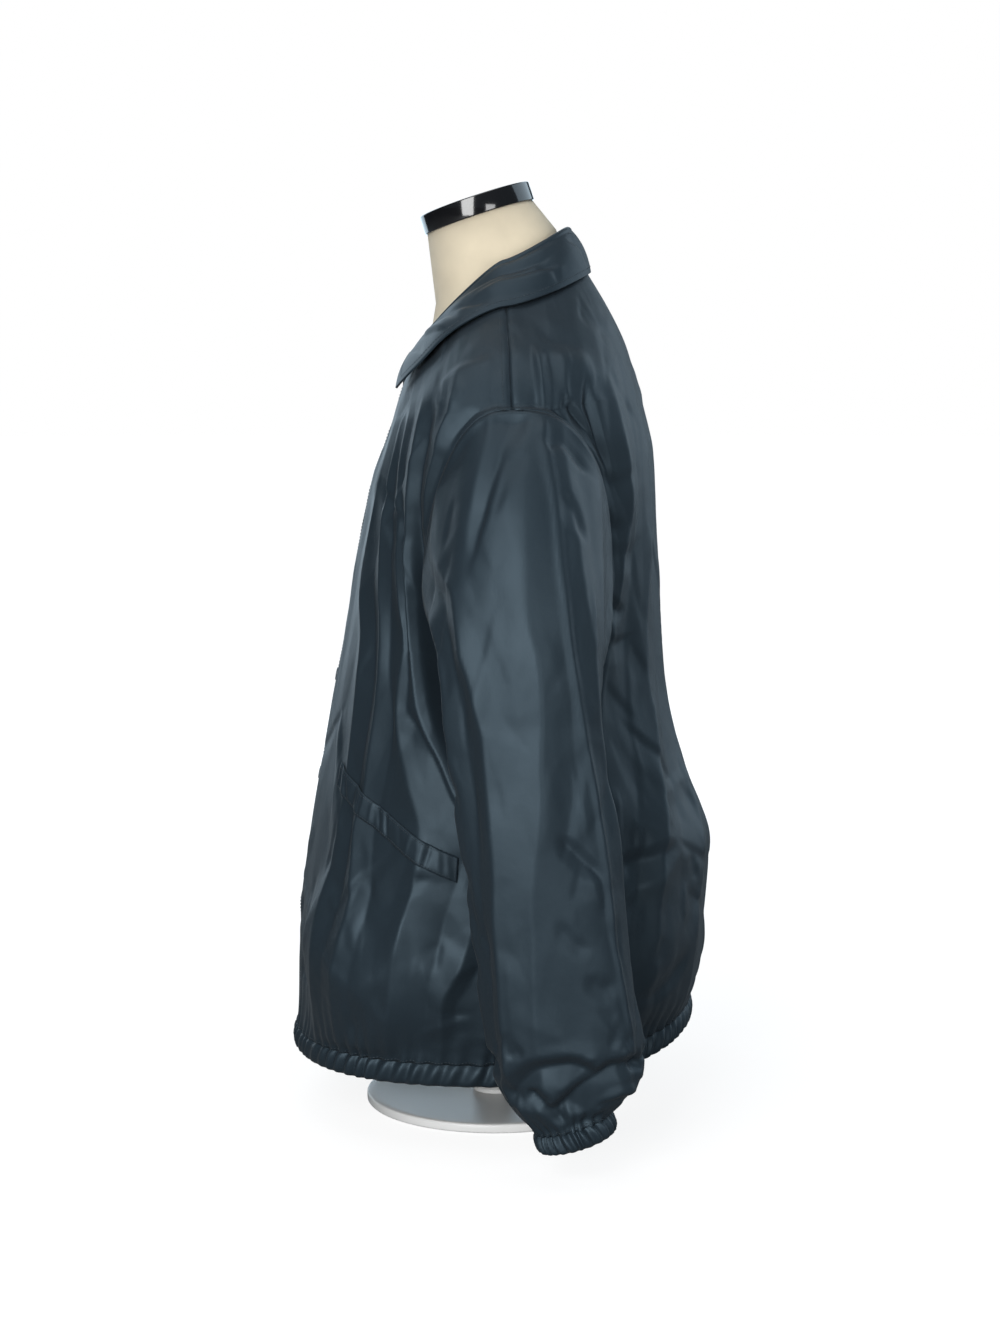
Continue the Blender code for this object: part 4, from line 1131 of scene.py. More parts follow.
SLEEVE_RINGS = (
    Tube(0.36, 0.2800, 0.0270, 0.4250, 0.0500, 0.0700, 0.0),
    Tube(0.40, 0.2805, 0.0290, 0.4000, 0.0510, 0.0690, 0.0),
    Tube(0.53, 0.2820, 0.0400, 0.3150, 0.0520, 0.0695, 0.0),
    Tube(0.66, 0.2815, 0.0500, 0.2320, 0.0520, 0.0685, 0.0),
    Tube(0.80, 0.2800, 0.0620, 0.1380, 0.0520, 0.0690, 0.001),
    Tube(0.87, 0.2790, 0.0655, 0.1050, 0.0500, 0.0660, 0.003),
    Tube(0.93, 0.2770, 0.0680, 0.0790, 0.0430, 0.0540, 0.006),
    Tube(1.00, 0.2750, 0.0710, 0.0550, 0.0335, 0.0335, 0.010),
)
CAP_END_T = SLEEVE_RINGS[0].t

# Fold lines of the left sleeve, all the way round: t, angle, height
SLEEVE_FOLDS = (
    ((0.0, -158, 0), (0.3, -158, -2), (0.7, -160, -2), (1.0, -160, 0)),
    ((0.0, -95, 0), (0.2, -112, 2), (0.45, -130, 2), (0.65, -134, 2), (0.84, -138, 2),
     (1.0, -138, 0)),
    ((0.0, -60, 0), (0.1, -72, -1), (0.2, -80, -2), (0.3, -92, -4), (0.45, -104, -4),
     (0.65, -108, -4), (0.84, -112, -3), (1.0, -112, 0)),
    ((0.0, -26, 0), (0.145, -38, 3), (0.215, -49, 4), (0.295, -61, 4), (0.385, -70, 5),
     (0.47, -76, 5), (0.58, -80, 5), (0.72, -84, 5), (0.84, -88, 4), (1.0, -90, 0)),
    ((0.0, -13, 1), (0.05, -15, 1), (0.11, -21, 1), (0.175, -25, 1.5), (0.225, -30, 2),
     (0.3, -38, 2), (0.38, -47, 3), (0.465, -52, 4), (0.53, -53, 4), (0.64, -53, 5),
     (0.72, -55, 5), (0.84, -60, 4), (1.0, -62, 0)),
    ((0.0, 4, 0), (0.05, 0, 2), (0.095, -2, 3), (0.18, -1, 3), (0.24, -4, 3), (0.28, -9, 4),
     (0.35, -12, 4.5), (0.43, -7, 4.5), (0.525, 2, 5), (0.64, 11, 6), (0.745, 18, 6), (0.84, 21, 5),
     (1.0, 20, 0)),
    ((0.0, 66, 1), (0.07, 75, 3), (0.145, 63, 5), (0.19, 50, 7), (0.26, 49, 7), (0.31, 41, 6),
     (0.38, 34, 5.5), (0.46, 34, 6), (0.555, 35, 8), (0.655, 41, 11), (0.735, 45, 12),
     (0.84, 48, 9), (1.0, 50, 0)),
    ((0.0, 84, 0), (0.1, 84, -2), (0.19, 66, -3), (0.26, 63, -3), (0.31, 57, -4), (0.38, 52, -4),
     (0.46, 52, -4), (0.555, 54, -4), (0.655, 58, -4), (0.735, 62, -4), (0.84, 66, -3),
     (1.0, 70, 0)),
    ((0.0, 100, 0), (0.1, 100, 2), (0.19, 84, 7), (0.29, 77, 7), (0.385, 74, 6), (0.475, 78, 5),
     (0.61, 82, 5), (0.745, 86, 4), (0.84, 88, 3), (1.0, 92, 0)),
    ((0.0, 118, 0), (0.2, 110, -4), (0.4, 104, -4), (0.6, 108, -4), (0.8, 114, -3),
     (1.0, 116, 0)),
    ((0.0, 140, 0), (0.3, 134, 1), (0.6, 136, 1), (0.8, 140, 1), (1.0, 142, 0)),
)

# Short creases of the left sleeve: path, height, width of either side, crest
SLEEVE_CREASES = (
    Crease(((-2, 0.0), (3, 0.045), (14, 0.09), (27, 0.135), (40, 0.18)),
           -0.006, 0.006, 0.014, 0.06, 0.05, 0.4),
    Crease(((-13, 0.0), (-15, 0.05), (-21, 0.11), (-25, 0.175), (-30, 0.225), (-38, 0.3), (-47, 0.38),
            (-52, 0.465), (-53, 0.64), (-60, 0.84)), 0.0024, 0.006, 0.005, 0.05, 0.03, 0.1),
    Crease(((-22, 0.095), (-34, 0.105), (-50, 0.135)), -0.004, 0.008, 0.014, 0.1),
    Crease(((-2, 0.05), (4, 0.09), (13, 0.13)), -0.0032, 0.005, 0.01, 0.05, 0.2, 0.4),
    Crease(((-14, 0.05), (-26, 0.032), (-42, 0.034), (-60, 0.02)),
           -0.004, 0.012, 0.006, 0.05, 0.15, 0.4),
    Crease(((-13, 0.505), (-30, 0.535), (-50, 0.575)), -0.0045, 0.007, 0.014, 0.08, 0.3, 0.3),
    Crease(((-4, 0.62), (-18, 0.66), (-36, 0.67)), -0.002, 0.008, 0.01, 0.12),
    Crease(((-20, 0.7), (-36, 0.72), (-52, 0.71)), -0.0025, 0.009, 0.012, 0.12),
    Crease(((106, 0.4), (88, 0.43), (70, 0.49)), -0.004, 0.01, 0.016, 0.12),
    Crease(((114, 0.52), (92, 0.55), (74, 0.61)), -0.004, 0.01, 0.016, 0.12),
    Crease(((110, 0.65), (92, 0.68), (78, 0.73)), -0.0035, 0.01, 0.016, 0.12),
    Crease(((-98, 0.34), (-112, 0.4), (-130, 0.42)), -0.004, 0.01, 0.014, 0.12),
    Crease(((-100, 0.5), (-112, 0.56), (-128, 0.58)), -0.004, 0.01, 0.014, 0.12),
    Crease(((60, 0.915), (36, 0.862), (16, 0.834), (-3, 0.832), (-26, 0.862)),
           -0.0105, 0.013, 0.034, 0.04, 0.15, 0.15),
    Crease(((16, 0.94), (-5, 0.895), (-26, 0.862), (-46, 0.842), (-86, 0.852)),
           -0.0105, 0.013, 0.034, 0.04, 0.15, 0.15),
    Crease(((40, 0.885), (21, 0.92), (9, 0.98)), -0.007, 0.014, 0.01, 0.04, 0.15, 0.3),
    Crease(((-24, 0.93), (-56, 0.905), (-92, 0.91)), 0.003, 0.01, 0.008, 0.06),
    Crease(((-52, 0.94), (-74, 0.92), (-100, 0.93)), -0.004, 0.008, 0.01, 0.1),
    Crease(((122, 0.86), (90, 0.84), (60, 0.87)), -0.0065, 0.012, 0.016, 0.12),
    Crease(((-108, 0.88), (-140, 0.85), (-172, 0.87)), -0.006, 0.012, 0.016, 0.12),
)
SLEEVE_FACETS = (Facets(3, (0.030, 0.090), 0.0014), Facets(8, (0.024, 0.040), 0.0008))
SLEEVE_CRUMPLES = (
    Crumple(32, 34, (-150.0, -14.0), (0.03, 0.8), 6.0, 14.0, (0.04, 0.14), (0.0006, 0.002),
            broad=(0.01, 0.022)),
    Crumple(33, 26, (46.0, 150.0), (0.03, 0.8), 4.0, 18.0, (0.03, 0.12), (0.0006, 0.002),
            broad=(0.01, 0.022)),
    Crumple(35, 12, (-10.0, 46.0), (0.03, 0.8), 0.0, 12.0, (0.06, 0.14), (0.0003, 0.0008),
            broad=(0.012, 0.022)),
    Crumple(37, 46, (-180.0, 180.0), (0.78, 0.97), 20.0, 50.0, (0.02, 0.06), (0.0008, 0.0026),
            broad=(0.008, 0.016)),
)
# Wander of the fold lines: degrees, waves along and waves round
SLEEVE_WANDER = ((0.8, 17.0, 2.0), (0.5, 41.0, -3.0))
# How the folds and facets of the hidden sleeve differ
HIDDEN_SWING, HIDDEN_SLIDE, HIDDEN_FACETS = (9.0, 2.0), (0.03, 3.0), 1.7
# Where the facets end under the arm, and how the creases fade out at the armhole and the cuff
UNDER_ARM, HEAD_EDGE, CUFF_EDGE = Fade(150.0, -20.0), Fade(0.0, 0.008), Fade(0.0, 0.012)
# Puckers at the sleeve head: height, waves round, wander, swell and reach
HEAD_HIGH, HEAD_WAVES, HEAD_STRAY, HEAD_SWELL, HEAD_REACH = 0.0004, 23.0, 5.0, 3.0, 0.012
T_STEP, ARMHOLE_STEP = 0.002, 0.05  # steps that give the sleeve its normals
SLEEVE_ROUND = 0.40  # metres of cloth round the sleeve, for its weave


@dataclass(frozen=True)
class Sleeve:
    """One sleeve, from its armhole to its cuff seam."""

    name: str
    side: float
    columns: int = 180
    rows: int = 190
    flat: Pair = (0.46, 0.66)
    area: float = 0.262
    out_top: float = 1.0
    out_under: float = 0.75
    pull_start: float = 1.05
    pull_end: float = 0.85

    def armhole(self, body: Body, step: Array) -> Array:
        """Points of the armhole loop.

        Args:
            body: The creased body.
            step: Steps from the shoulder tip, first down the front.

        Returns:
            Points, in the last axis.
        """
        step = step % (2 * ARMHOLE_STEPS)
        down = np.where(step <= ARMHOLE_STEPS, step, 2 * ARMHOLE_STEPS - step)
        v = armhole_v(ARMHOLE_STEPS - down)
        bite = np.where(step <= ARMHOLE_STEPS, -ARMHOLE_FRONT, ARMHOLE_BACK)
        angle = self.side * (90.0 + bite * armhole_bite(v))
        marks = np.linspace(0.0, 2 * ARMHOLE_STEPS, len(body.armhole_run))
        ease = body.armhole_ease(np.interp(step, marks, body.armhole_run))
        return body.plain.point(angle, v) + body.plain.normal(angle, v) * ease[..., None]

    def tube(self, t: Array, angle: Array) -> Array:
        """Points of the tube below the cap."""
        ring = Tube(*through_rows(SLEEVE_RINGS, t))
        cosine, sine = np.cos(np.radians(angle)), np.sin(np.radians(angle))
        x = self.side * (ring.x_mid + ring.half_x * cosine)
        return np.stack([x, ring.y_mid - ring.half_y * sine, ring.z_mid - ring.lean * sine], -1)

    def plain(self, body: Body, t: Array, step: Array) -> Array:
        """Points of the sleeve without creases: a curved cap, then the tube.

        Args:
            body: The creased body.
            t: Places from armhole to cuff.
            step: Steps round the armhole loop.

        Returns:
            Points, in the last axis.
        """
        angle = 180.0 * step / ARMHOLE_STEPS
        start, end = self.armhole(body, step), self.tube(np.full_like(t, CAP_END_T), angle)
        top = 0.5 + 0.5 * np.cos(np.radians(angle))
        out = self.out_under + (self.out_top - self.out_under) * top
        chord = np.linalg.norm(end - start, axis=-1, keepdims=True)
        leave = unit(np.stack([self.side * out, 0.0 * out, -np.ones_like(out)], -1))
        h = np.clip(t / CAP_END_T, 0.0, 1.0)[..., None]
        cap = hermite(h, start, leave * chord * self.pull_start, end, -UP * chord * self.pull_end)
        return np.where((t >= CAP_END_T)[..., None], self.tube(np.maximum(t, CAP_END_T), angle), cap)

    def creases(self) -> list[Crease]:
        """The creases of this sleeve; the hidden one has similar ones."""
        draw = np.random.default_rng(SLEEVE_SEED)
        large = SLEEVE_CREASES if self.side > 0 else tuple(c.varied(draw) for c in SLEEVE_CREASES)
        return list(large) + [c for crumple in SLEEVE_CRUMPLES for c in crumple.creases(SLEEVE_SCALE)]

    def fold_lift(self, angle: Array, t: Array) -> Array:
        """Lift of the long folds; those of the hidden sleeve are similar, with their lines moved.

        Args:
            angle: Angles in degrees.
            t: Places from armhole to cuff.

        Returns:
            The lift at each place, in metres.
        """
        around = np.radians(angle)
        wander = sum(far * np.sin(waves * t + turns * around) for far, waves, turns in SLEEVE_WANDER)
        if self.side < 0:
            wander = wander + HIDDEN_SWING[0] * np.sin(HIDDEN_SWING[1] * around + 1.0)
            t = np.clip(t + HIDDEN_SLIDE[0] * np.sin(HIDDEN_SLIDE[1] * around), 0.0, 1.0)
        folds = FoldSet(SLEEVE_FOLDS, SLEEVE_RADIUS, soft=0.0015, strength=0.8, closed=True)
        return folds.lift(angle + wander, t)

    def lift(self, t: Array, step: Array) -> Array:
        """How far the cloth stands off the plain sleeve.

        Args:
            t: Places from armhole to cuff.
            step: Steps round the armhole loop.

        Returns:
            The lift at each place, in metres.
        """
        angle = (180.0 * step / ARMHOLE_STEPS + 180.0) % 360.0 - 180.0
        spots = np.stack([angle, t], -1) * SLEEVE_SCALE
        total = self.fold_lift(angle, t)
        shift = 0.0 if self.side > 0 else HIDDEN_FACETS
        patches = sum(facets.lift(spots + shift) for facets in SLEEVE_FACETS)
        total += UNDER_ARM.at(np.abs(angle)) * patches
        for crease in self.creases():
            total += crease.lift(spots, SLEEVE_SCALE)
        top, low = t * SLEEVE_LONG, (1.0 - t) * SLEEVE_LONG
        total *= HEAD_EDGE.at(top) * CUFF_EDGE.at(low)
        waves = (np.radians(angle) * count for count in (HEAD_WAVES, HEAD_STRAY, HEAD_SWELL))
        total += HEAD_HIGH * puckers(*waves, top, HEAD_REACH)
        return total + CUFF_GATHERS.relief(angle / 360.0, low)

    def surface(self, body: Body, t: Array, step: Array, lift: float = 0.0) -> Array:
        """Points of the creased sleeve.

        Args:
            body: The creased body.
            t: Places from armhole to cuff.
            step: Steps round the armhole loop.
            lift: Further lift in metres.

        Returns:
            Points, in the last axis.
        """
        shape = np.broadcast(t, step).shape
        t, step = (np.broadcast_to(x, shape).ravel().astype(float) for x in (t, step))
        low, high = (np.clip(t + sign * T_STEP, 0.0, 1.0) for sign in (-1.0, 1.0))
        along = self.plain(body, high, step) - self.plain(body, low, step)
        across = self.plain(body, t, step + ARMHOLE_STEP) - self.plain(body, t, step - ARMHOLE_STEP)
        normal = unit(np.cross(across, along)) * self.side
        points = self.plain(body, t, step) + normal * (self.lift(t, step) + lift)[:, None]
        return points.reshape(*shape, 3)

    def build(self, body: Body, material: Material) -> Thing:
        """Make the sleeve as a thin shell and dress it.

        Args:
            body: The creased body.
            material: The cloth's finish.

        Returns:
            The finished sleeve.
        """
        steps = np.linspace(0.0, 2 * ARMHOLE_STEPS, self.columns + 1)[:-1] + ARMHOLE_STEPS
        round_way = np.arange(self.columns + 1) / self.columns * SLEEVE_ROUND
        if self.side > 0:
            steps = steps[::-1]
        t = np.linspace(1.0, 0.0, self.rows + 1)
        points = self.surface(body, t[:, None], steps[None, :])
        cloth = np.stack(np.meshgrid(round_way, -t * SLEEVE_LONG), -1)
        return cloth_piece(self.name + "_cloth", self.name, points, cloth, CLOTH, material, closed=True)


# Gathered casings

HEM_FLAT, CUFF_FLAT = (1.42, 0.048), (0.28, 0.042)
HEM_TALL, CUFF_TALL = 0.020, 0.017
HEM_END = 0.9988  # share of the way round where the hem's casing ends


@dataclass(frozen=True)
class Casing:
    """An elastic casing: a folded strip with gathers, swept round an opening."""

    name: str
    tall: float
    gathers: Gathers
    flat: Pair
    slant: float = 0.5
    columns_each: int = 10
    thickness: float = 0.0006

    # Section of the band: out from the seam line, down, and the gathers' share there
    SECTION = (
        (-0.0012, -0.16, 1.0), (0.0004, 0.00, 1.0), (0.0018, 0.10, 1.0), (0.0027, 0.28, 1.1),
        (0.0029, 0.50, 1.2), (0.0025, 0.72, 1.1), (0.0014, 0.91, 0.9), (-0.0006, 1.00, 0.6),
        (-0.0024, 0.93, 0.4), (-0.0032, 0.72, 0.4), (-0.0034, 0.45, 0.4), (-0.0030, 0.10, 0.4),
    )

    def build(self, line: Array, out: Array, down: Array, shares: Array, closed: bool,
              material: Material) -> Thing:
        """Sweep the section along the seam line and dress it.

        Args:
            line: Points of the seam line.
            out: Outward directions there.
            down: Directions from the seam to the edge.
            shares: Share of the way round at each point.
            closed: Whether the line joins end to start.
            material: The cloth's finish.

        Returns:
            The finished casing.
        """
        rows = []
        for reach, fall, part in self.SECTION:
            turn = self.gathers.phase(shares) + TURN * self.slant * fall
            wave = self.gathers.wave * np.cos(turn) * self.gathers.strength(shares) * part
            rows.append(line + out * (reach + wave)[:, None] + down * fall * self.tall)
        round_way = np.linspace(0.0, self.flat[0], len(line) + 1)
        cloth = np.stack(np.meshgrid(round_way, np.linspace(0.0, self.flat[1], len(rows))), -1)
        points = np.array(rows[::-1])
        name = self.name + "_band"
        return cloth_piece(name, self.name, points, cloth, self.thickness, material, closed)


def build_hem(body: Body, material: Material) -> Thing:
    """Casing round the hem, open at the centre front.

    Args:
        body: The creased body.
        material: The cloth's finish.

    Returns:
        The finished casing.
    """
    casing = Casing("hem_casing", HEM_TALL, HEM_GATHERS, HEM_FLAT)
    shares = np.linspace(0.0, HEM_END, casing.gathers.count * casing.columns_each)
    angle = -OVERLAP + 360.0 * shares
    normal = body.plain.normal(angle, np.zeros_like(angle))
    out = unit(normal * LEVEL)
    line = body.plain.point(angle, np.zeros_like(angle))
    return casing.build(line, out, np.broadcast_to(-UP, out.shape), shares, False, material)


def build_cuff(sleeve: Sleeve, material: Material) -> Thing:
    """Casing round a wrist, on the tilted ring of the cuff seam.

    Args:
        sleeve: The sleeve that it ends.
        material: The cloth's finish.

    Returns:
        The finished casing.
    """
    name = "cuff_left" if sleeve.side > 0 else "cuff_right"
    casing = Casing(name, CUFF_TALL, CUFF_GATHERS, CUFF_FLAT, columns_each=12)
    count = casing.gathers.count * casing.columns_each
    shares = np.arange(count) / count
    order = shares[::-1] if sleeve.side > 0 else shares
    line = sleeve.tube(np.ones(count), 360.0 * order)
    tube = SLEEVE_RINGS[-1]
    centre = np.array([sleeve.side * tube.x_mid, tube.y_mid, tube.z_mid])
    tilt = math.atan2(tube.lean, tube.half_y)
    down = np.broadcast_to([0.0, math.sin(tilt), -math.cos(tilt)], line.shape)
    return casing.build(line, unit(line - centre), down, order, True, material)


# Collar

COLLAR_SCALE = np.array([math.radians(1.0) * 0.10, 0.055])  # metres in a degree, and down the fall
COLLAR_RADIUS = 0.09  # of the cloth's weave
EDGE_WAVE, EDGE_WAVES = 0.0007, 7.0  # of the fall's edge: height and count


@dataclass(frozen=True)
class Collar:
    """Turn-down collar: a stand, a rolled fold and a pointed fall."""

    fold: Ring = Ring(0, 0.7580, 0.8385, 0.8735, 0.0745, -0.0765, 0.008, 0.0715, 2.25, 1.1)
    fold_radius: float = 0.0030
    end: float = 2.5
    spread: float = 22.0
    bulge: float = 0.0055
    thickness: float = 0.0019
    seam_lift: float = 0.0012
    columns: int = 260
    stand_rows: int = 11
    fold_rows: int = 8
    fall_rows: int = 30
    # How the fall's edge lies on the body: angle, v and lift
    fall: tuple[Triple, ...] = (
        (0.0, 0.885, 0.0085), (45.0, 0.938, 0.0070), (90.0, 0.962, 0.0045), (180.0, 0.982, 0.0032))

    # Creases on the fall: angle and share down the fall
    creases: tuple[Crease, ...] = (
        Crease(((56, 0.04), (92, 0.3), (128, 0.36)), -0.003, 0.005, 0.014, 0.06),
        Crease(((70, 0.46), (104, 0.58), (136, 0.64)), 0.003, 0.014, 0.005, 0.06),
        Crease(((58, 0.3), (72, 0.62), (88, 0.9)), -0.0026, 0.005, 0.012, 0.06),
        Crease(((70, 0.02), (100, 0.14), (138, 0.12)), 0.0024, 0.012, 0.006, 0.06),
        Crease(((30, 0.1), (46, 0.5), (58, 0.92)), 0.0028, 0.005, 0.014, 0.06),
        Crease(((40, 0.05), (58, 0.44), (66, 0.86)), -0.002, 0.006, 0.01, 0.06),
        Crease(((12, 0.2), (26, 0.55), (32, 0.92)), -0.0022, 0.006, 0.012, 0.06),
        Crease(((108, 0.36), (122, 0.66), (124, 0.95)), -0.0022, 0.006, 0.01, 0.06),
        Crease(((146, 0.1), (160, 0.5), (158, 0.95)), -0.0024, 0.006, 0.012, 0.06),
        Crease(((172, 0.3), (188, 0.42), (206, 0.34)), -0.0022, 0.006, 0.012, 0.06),
        Crease(((205, 0.5), (198, 0.7), (206, 0.95)), 0.0022, 0.006, 0.012, 0.06),
        Crease(((230, 0.34), (254, 0.46), (282, 0.36)), -0.0028, 0.006, 0.012, 0.06),
        Crease(((302, 0.1), (290, 0.5), (284, 0.92)), -0.0024, 0.006, 0.012, 0.06),
        Crease(((326, 0.1), (312, 0.5), (304, 0.92)), 0.0026, 0.006, 0.014, 0.06),
    )

    def section(self, body: Body) -> tuple[Array, Array]:
        """Form of the collar without creases.

        Args:
            body: The creased body.

        Returns:
            Rows of points from the neck seam over the fold to the edge, and the columns' angles.
        """
        angle = np.linspace(self.end, 360.0 - self.end, self.columns + 1)
        side = (angle + 180.0) % 360.0 - 180.0
        turn = np.abs(side)
        base = body.plain.point(angle, np.ones_like(angle)) + UP * self.seam_lift
        top = body.plain.ring_point(self.fold, angle)
        away = unit((top - np.array([0.0, self.fold.y_side, 0.0])) * LEVEL)
        spread = np.sign(side) * (turn + self.spread * rise(1.0 - turn / 90.0))
        _, fall_v, lift = through_rows(self.fall, turn)
        edge = body.plain.point(spread, fall_v) + body.plain.normal(spread, fall_v) * lift[:, None]
        centre = top - UP * self.fold_radius
        rows = []
        for share in np.linspace(0.0, 1.0, self.stand_rows + 1)[:-1]:
            rows.append(base * (1 - share) + (centre - away * self.fold_radius) * share)
        for share in np.linspace(0.0, 1.0, self.fold_rows + 1)[:-1]:
            turned = math.pi * share
            rows.append(centre + (UP * math.sin(turned) - away * math.cos(turned)) * self.fold_radius)
        start = centre + away * self.fold_radius
        middle = 0.5 * (start + edge) + (away + UP) * self.bulge
        for share in np.linspace(0.0, 1.0, self.fall_rows):
            rows.append(start * (1 - share) ** 2 + middle * 2 * share * (1 - share) + edge * share ** 2)
        return np.array(rows), angle

    def build(self, body: Body, material: Material) -> tuple[Thing, Array, Array]:
        """Make the collar and dress it.

        Args:
            body: The creased body.
            material: The cloth's finish.

        Returns:
            The finished collar, the grid in the middle of its cloth, and the grid's normals.
        """
        points, angle = self.section(body)
        normal = unit(np.cross(np.gradient(points, axis=0), np.gradient(points, axis=1)))
        first_fall = len(points) - self.fall_rows
        share = np.clip((np.arange(len(points)) - first_fall) / (self.fall_rows - 1), 0.0, 1.0)
        spots = np.stack(np.meshgrid(angle, share), -1).reshape(-1, 2) * COLLAR_SCALE
        lift = sum(crease.lift(spots, COLLAR_SCALE) for crease in self.creases).reshape(points.shape[:2])
        lift += EDGE_WAVE * np.sin(np.radians(angle) * EDGE_WAVES + 1.0)[None, :] * share[:, None]
        points = points + normal * lift[..., None]
        run = np.cumsum(np.linalg.norm(np.diff(points, axis=0, prepend=points[:1]), axis=-1).mean(1))
        cloth = np.stack(np.meshgrid(np.radians(angle) * COLLAR_RADIUS, run), -1)
        thing = grid_object("collar_cloth", points[:, ::-1], cloth[:, ::-1])
        thicken(thing, self.thickness, offset=0.0)
        bevel(thing, width=0.0006, segments=2, angle=60.0)
        dress(thing, material, Slot.NYLON, "collar")
        return thing, points, normal


# Pocket welts

WELT_SEEDS = (61, 67)  # left and right
WELT_LIFT, WELT_SWELL, WELT_LEAST = 0.0017, 0.0011, 0.0011
WELT_THICK = 0.0009
WELT_CLOTH = (0.185, 0.014)  # length and half width of its weave, in metres
# Creases across a welt: how many, from where to where, how far moved, and ranges of height and width
WELT_CREASES, WELT_CREASED, WELT_SHIFT = 15, (0.04, 0.96), (-0.02, 0.02)
WELT_CREASE_HIGH, WELT_CREASE_WIDE = (-0.0022, 0.0012), (0.010, 0.022)


@dataclass(frozen=True)
class Welt:
    """Slanted strip over a pocket opening, crossed by short creases."""

    name: str
    side: float
    front_end: Pair = WELT_FRONT
    back_end: Pair = WELT_BACK
    half_wide: float = 0.0155
    columns: int = 120
    rows: int = 16

    def places(self, across: Array, share: Array) -> tuple[Array, Array]:
        """Angle and v of the welt: across from -1 below to 1 above, share from front to back."""
        angle = self.front_end[0] + (self.back_end[0] - self.front_end[0]) * share
        v = self.front_end[1] + (self.back_end[1] - self.front_end[1]) * share + across * self.half_wide
        return self.side * angle, v

    def build(self, body: Body, material: Material) -> Thing:
        """Make the welt on the creased front and dress it.

        Args:
            body: The creased body.
            material: The cloth's finish.

        Returns:
            The finished welt.
        """
        draw = np.random.default_rng(WELT_SEEDS[0 if self.side > 0 else 1])
        across = np.linspace(-1.0, 1.0, self.rows + 1)[:, None]
        share = np.linspace(0.0, 1.0, self.columns + 1)[None, :]
        angle, v = self.places(across, share)
        lift = WELT_LIFT + WELT_SWELL * (1.0 - across ** 4) + 0.0 * share
        for middle in np.linspace(*WELT_CREASED, WELT_CREASES) + draw.uniform(*WELT_SHIFT, WELT_CREASES):
            lean, high = draw.uniform(*WELT_SHIFT), draw.uniform(*WELT_CREASE_HIGH)
            gap = (share - middle - lean * across) / draw.uniform(*WELT_CREASE_WIDE)
            lift = lift + high * np.exp(-gap ** 2) * (1.0 - 0.5 * across ** 2)
        points = body.surface(angle, v, np.maximum(lift, WELT_LEAST))
        cloth = np.stack(np.broadcast_arrays(share, across), -1) * np.array(WELT_CLOTH)
        if self.side < 0:
            points, cloth = points[:, ::-1], cloth[:, ::-1]
        return cloth_piece(self.name + "_strip", self.name, points, cloth, WELT_THICK, material)


# Sewing

# A stitch: place along it, height and thickness of each of its square sections
STITCH = ((-0.5, -0.6, 0.5), (-0.25, 0.45, 1.0), (0.25, 0.45, 1.0), (0.5, -0.6, 0.5))
STITCH_TURNS = np.radians([45.0, 135.0, 225.0, 315.0])
LOOK_AHEAD = 0.001  # way along a line that gives a stitch its direction
# Lines of stitches on the body: where they run, from where to where, and how many points they have
EDGE_ANGLES, EDGE_ENDS, EDGE_POINTS = (-4.6, 3.4), (0.012, 0.94), 260
HEM_V, HEM_ENDS, HEM_POINTS = 0.0045, (-5.0, 353.0), 900
SHOULDER_ANGLES, SHOULDER_ENDS, SHOULDER_POINTS = (87.4, 272.6), (0.835, 0.955), 60
STITCH_LIFT, CASING_LIFT = 0.0001, 0.0002
# On a welt: edges, ends and lift
WELT_EDGES, WELT_ENDS, WELT_STITCH_LIFT = (-0.80, 0.80), (0.012, 0.988), 0.0026
WELT_POINTS, WELT_END_POINTS = 140, 24
COLLAR_INSET, COLLAR_FRONT_ROWS = 4, 26  # of the collar's rows and columns
CUFF_T, CUFF_POINTS, INWARD = 0.991, 240, -0.002


@dataclass(frozen=True)
class Sewing:
    """Rows of lockstitch along lines on the cloth."""

    pitch: float = 0.0034
    long: float = 0.0025
    thick: float = 0.00034

    def run(self, points: Array, normals: Array) -> tuple[Array, Array, Array]:
        """Even places along a line.

        Args:
            points: Points of the line.
            normals: Outward directions there.

        Returns:
            Middles, directions and outward directions of the stitches.
        """
        steps = np.linalg.norm(np.diff(points, axis=0), axis=1)
        way = np.concatenate(([0.0], np.cumsum(steps)))
        at = np.arange(self.pitch, way[-1] - self.pitch, self.pitch)
        reads = (at, points), (at + LOOK_AHEAD, points), (at, normals)
        middle, ahead, out = (np.stack([np.interp(place, way, rows[:, k]) for k in range(3)], -1)
                              for place, rows in reads)
        along, out = unit(ahead - middle), unit(out)
        return middle, along, unit(out - along * (out * along).sum(-1, keepdims=True))

    def build(self, name: str, lines: list[tuple[Array, Array]],
              material: Material) -> Thing:
        """Make every stitch of some lines as one mesh.

        Args:
            name: Name of the piece.
            lines: Points and normals of each line.
            material: The thread's finish.

        Returns:
            The stitches.
        """
        runs = [self.run(*line) for line in lines]
        middle, along, out = (np.concatenate([run[k] for run in runs]) for k in range(3))
        beside = np.cross(out, along)
        points = []
        for place, height, size in STITCH:
            for turn in STITCH_TURNS:
                offset = (along * place * self.long + beside * math.cos(turn) * self.thick * size
                          + out * (height + math.sin(turn) * size) * self.thick)
                points.append(middle + offset)
        points = np.stack(points, 1)
        sections, corners = len(STITCH), len(STITCH_TURNS)
        each = sections * corners
        faces = [tuple(range(corners))[::-1], tuple(range(each - corners, each))]
        for level in range(sections - 1):
            for k in range(corners):
                a, b = level * corners + k, level * corners + (k + 1) % corners
                faces.append((a, b, b + corners, a + corners))
        shifts = np.arange(len(middle))[:, None, None] * each
        every = (np.array(faces)[None] + shifts).reshape(-1, corners)
        thing = new_object(name, points.reshape(-1, 3), every.tolist())
        dress(thing, material, Slot.NYLON)
        return thing


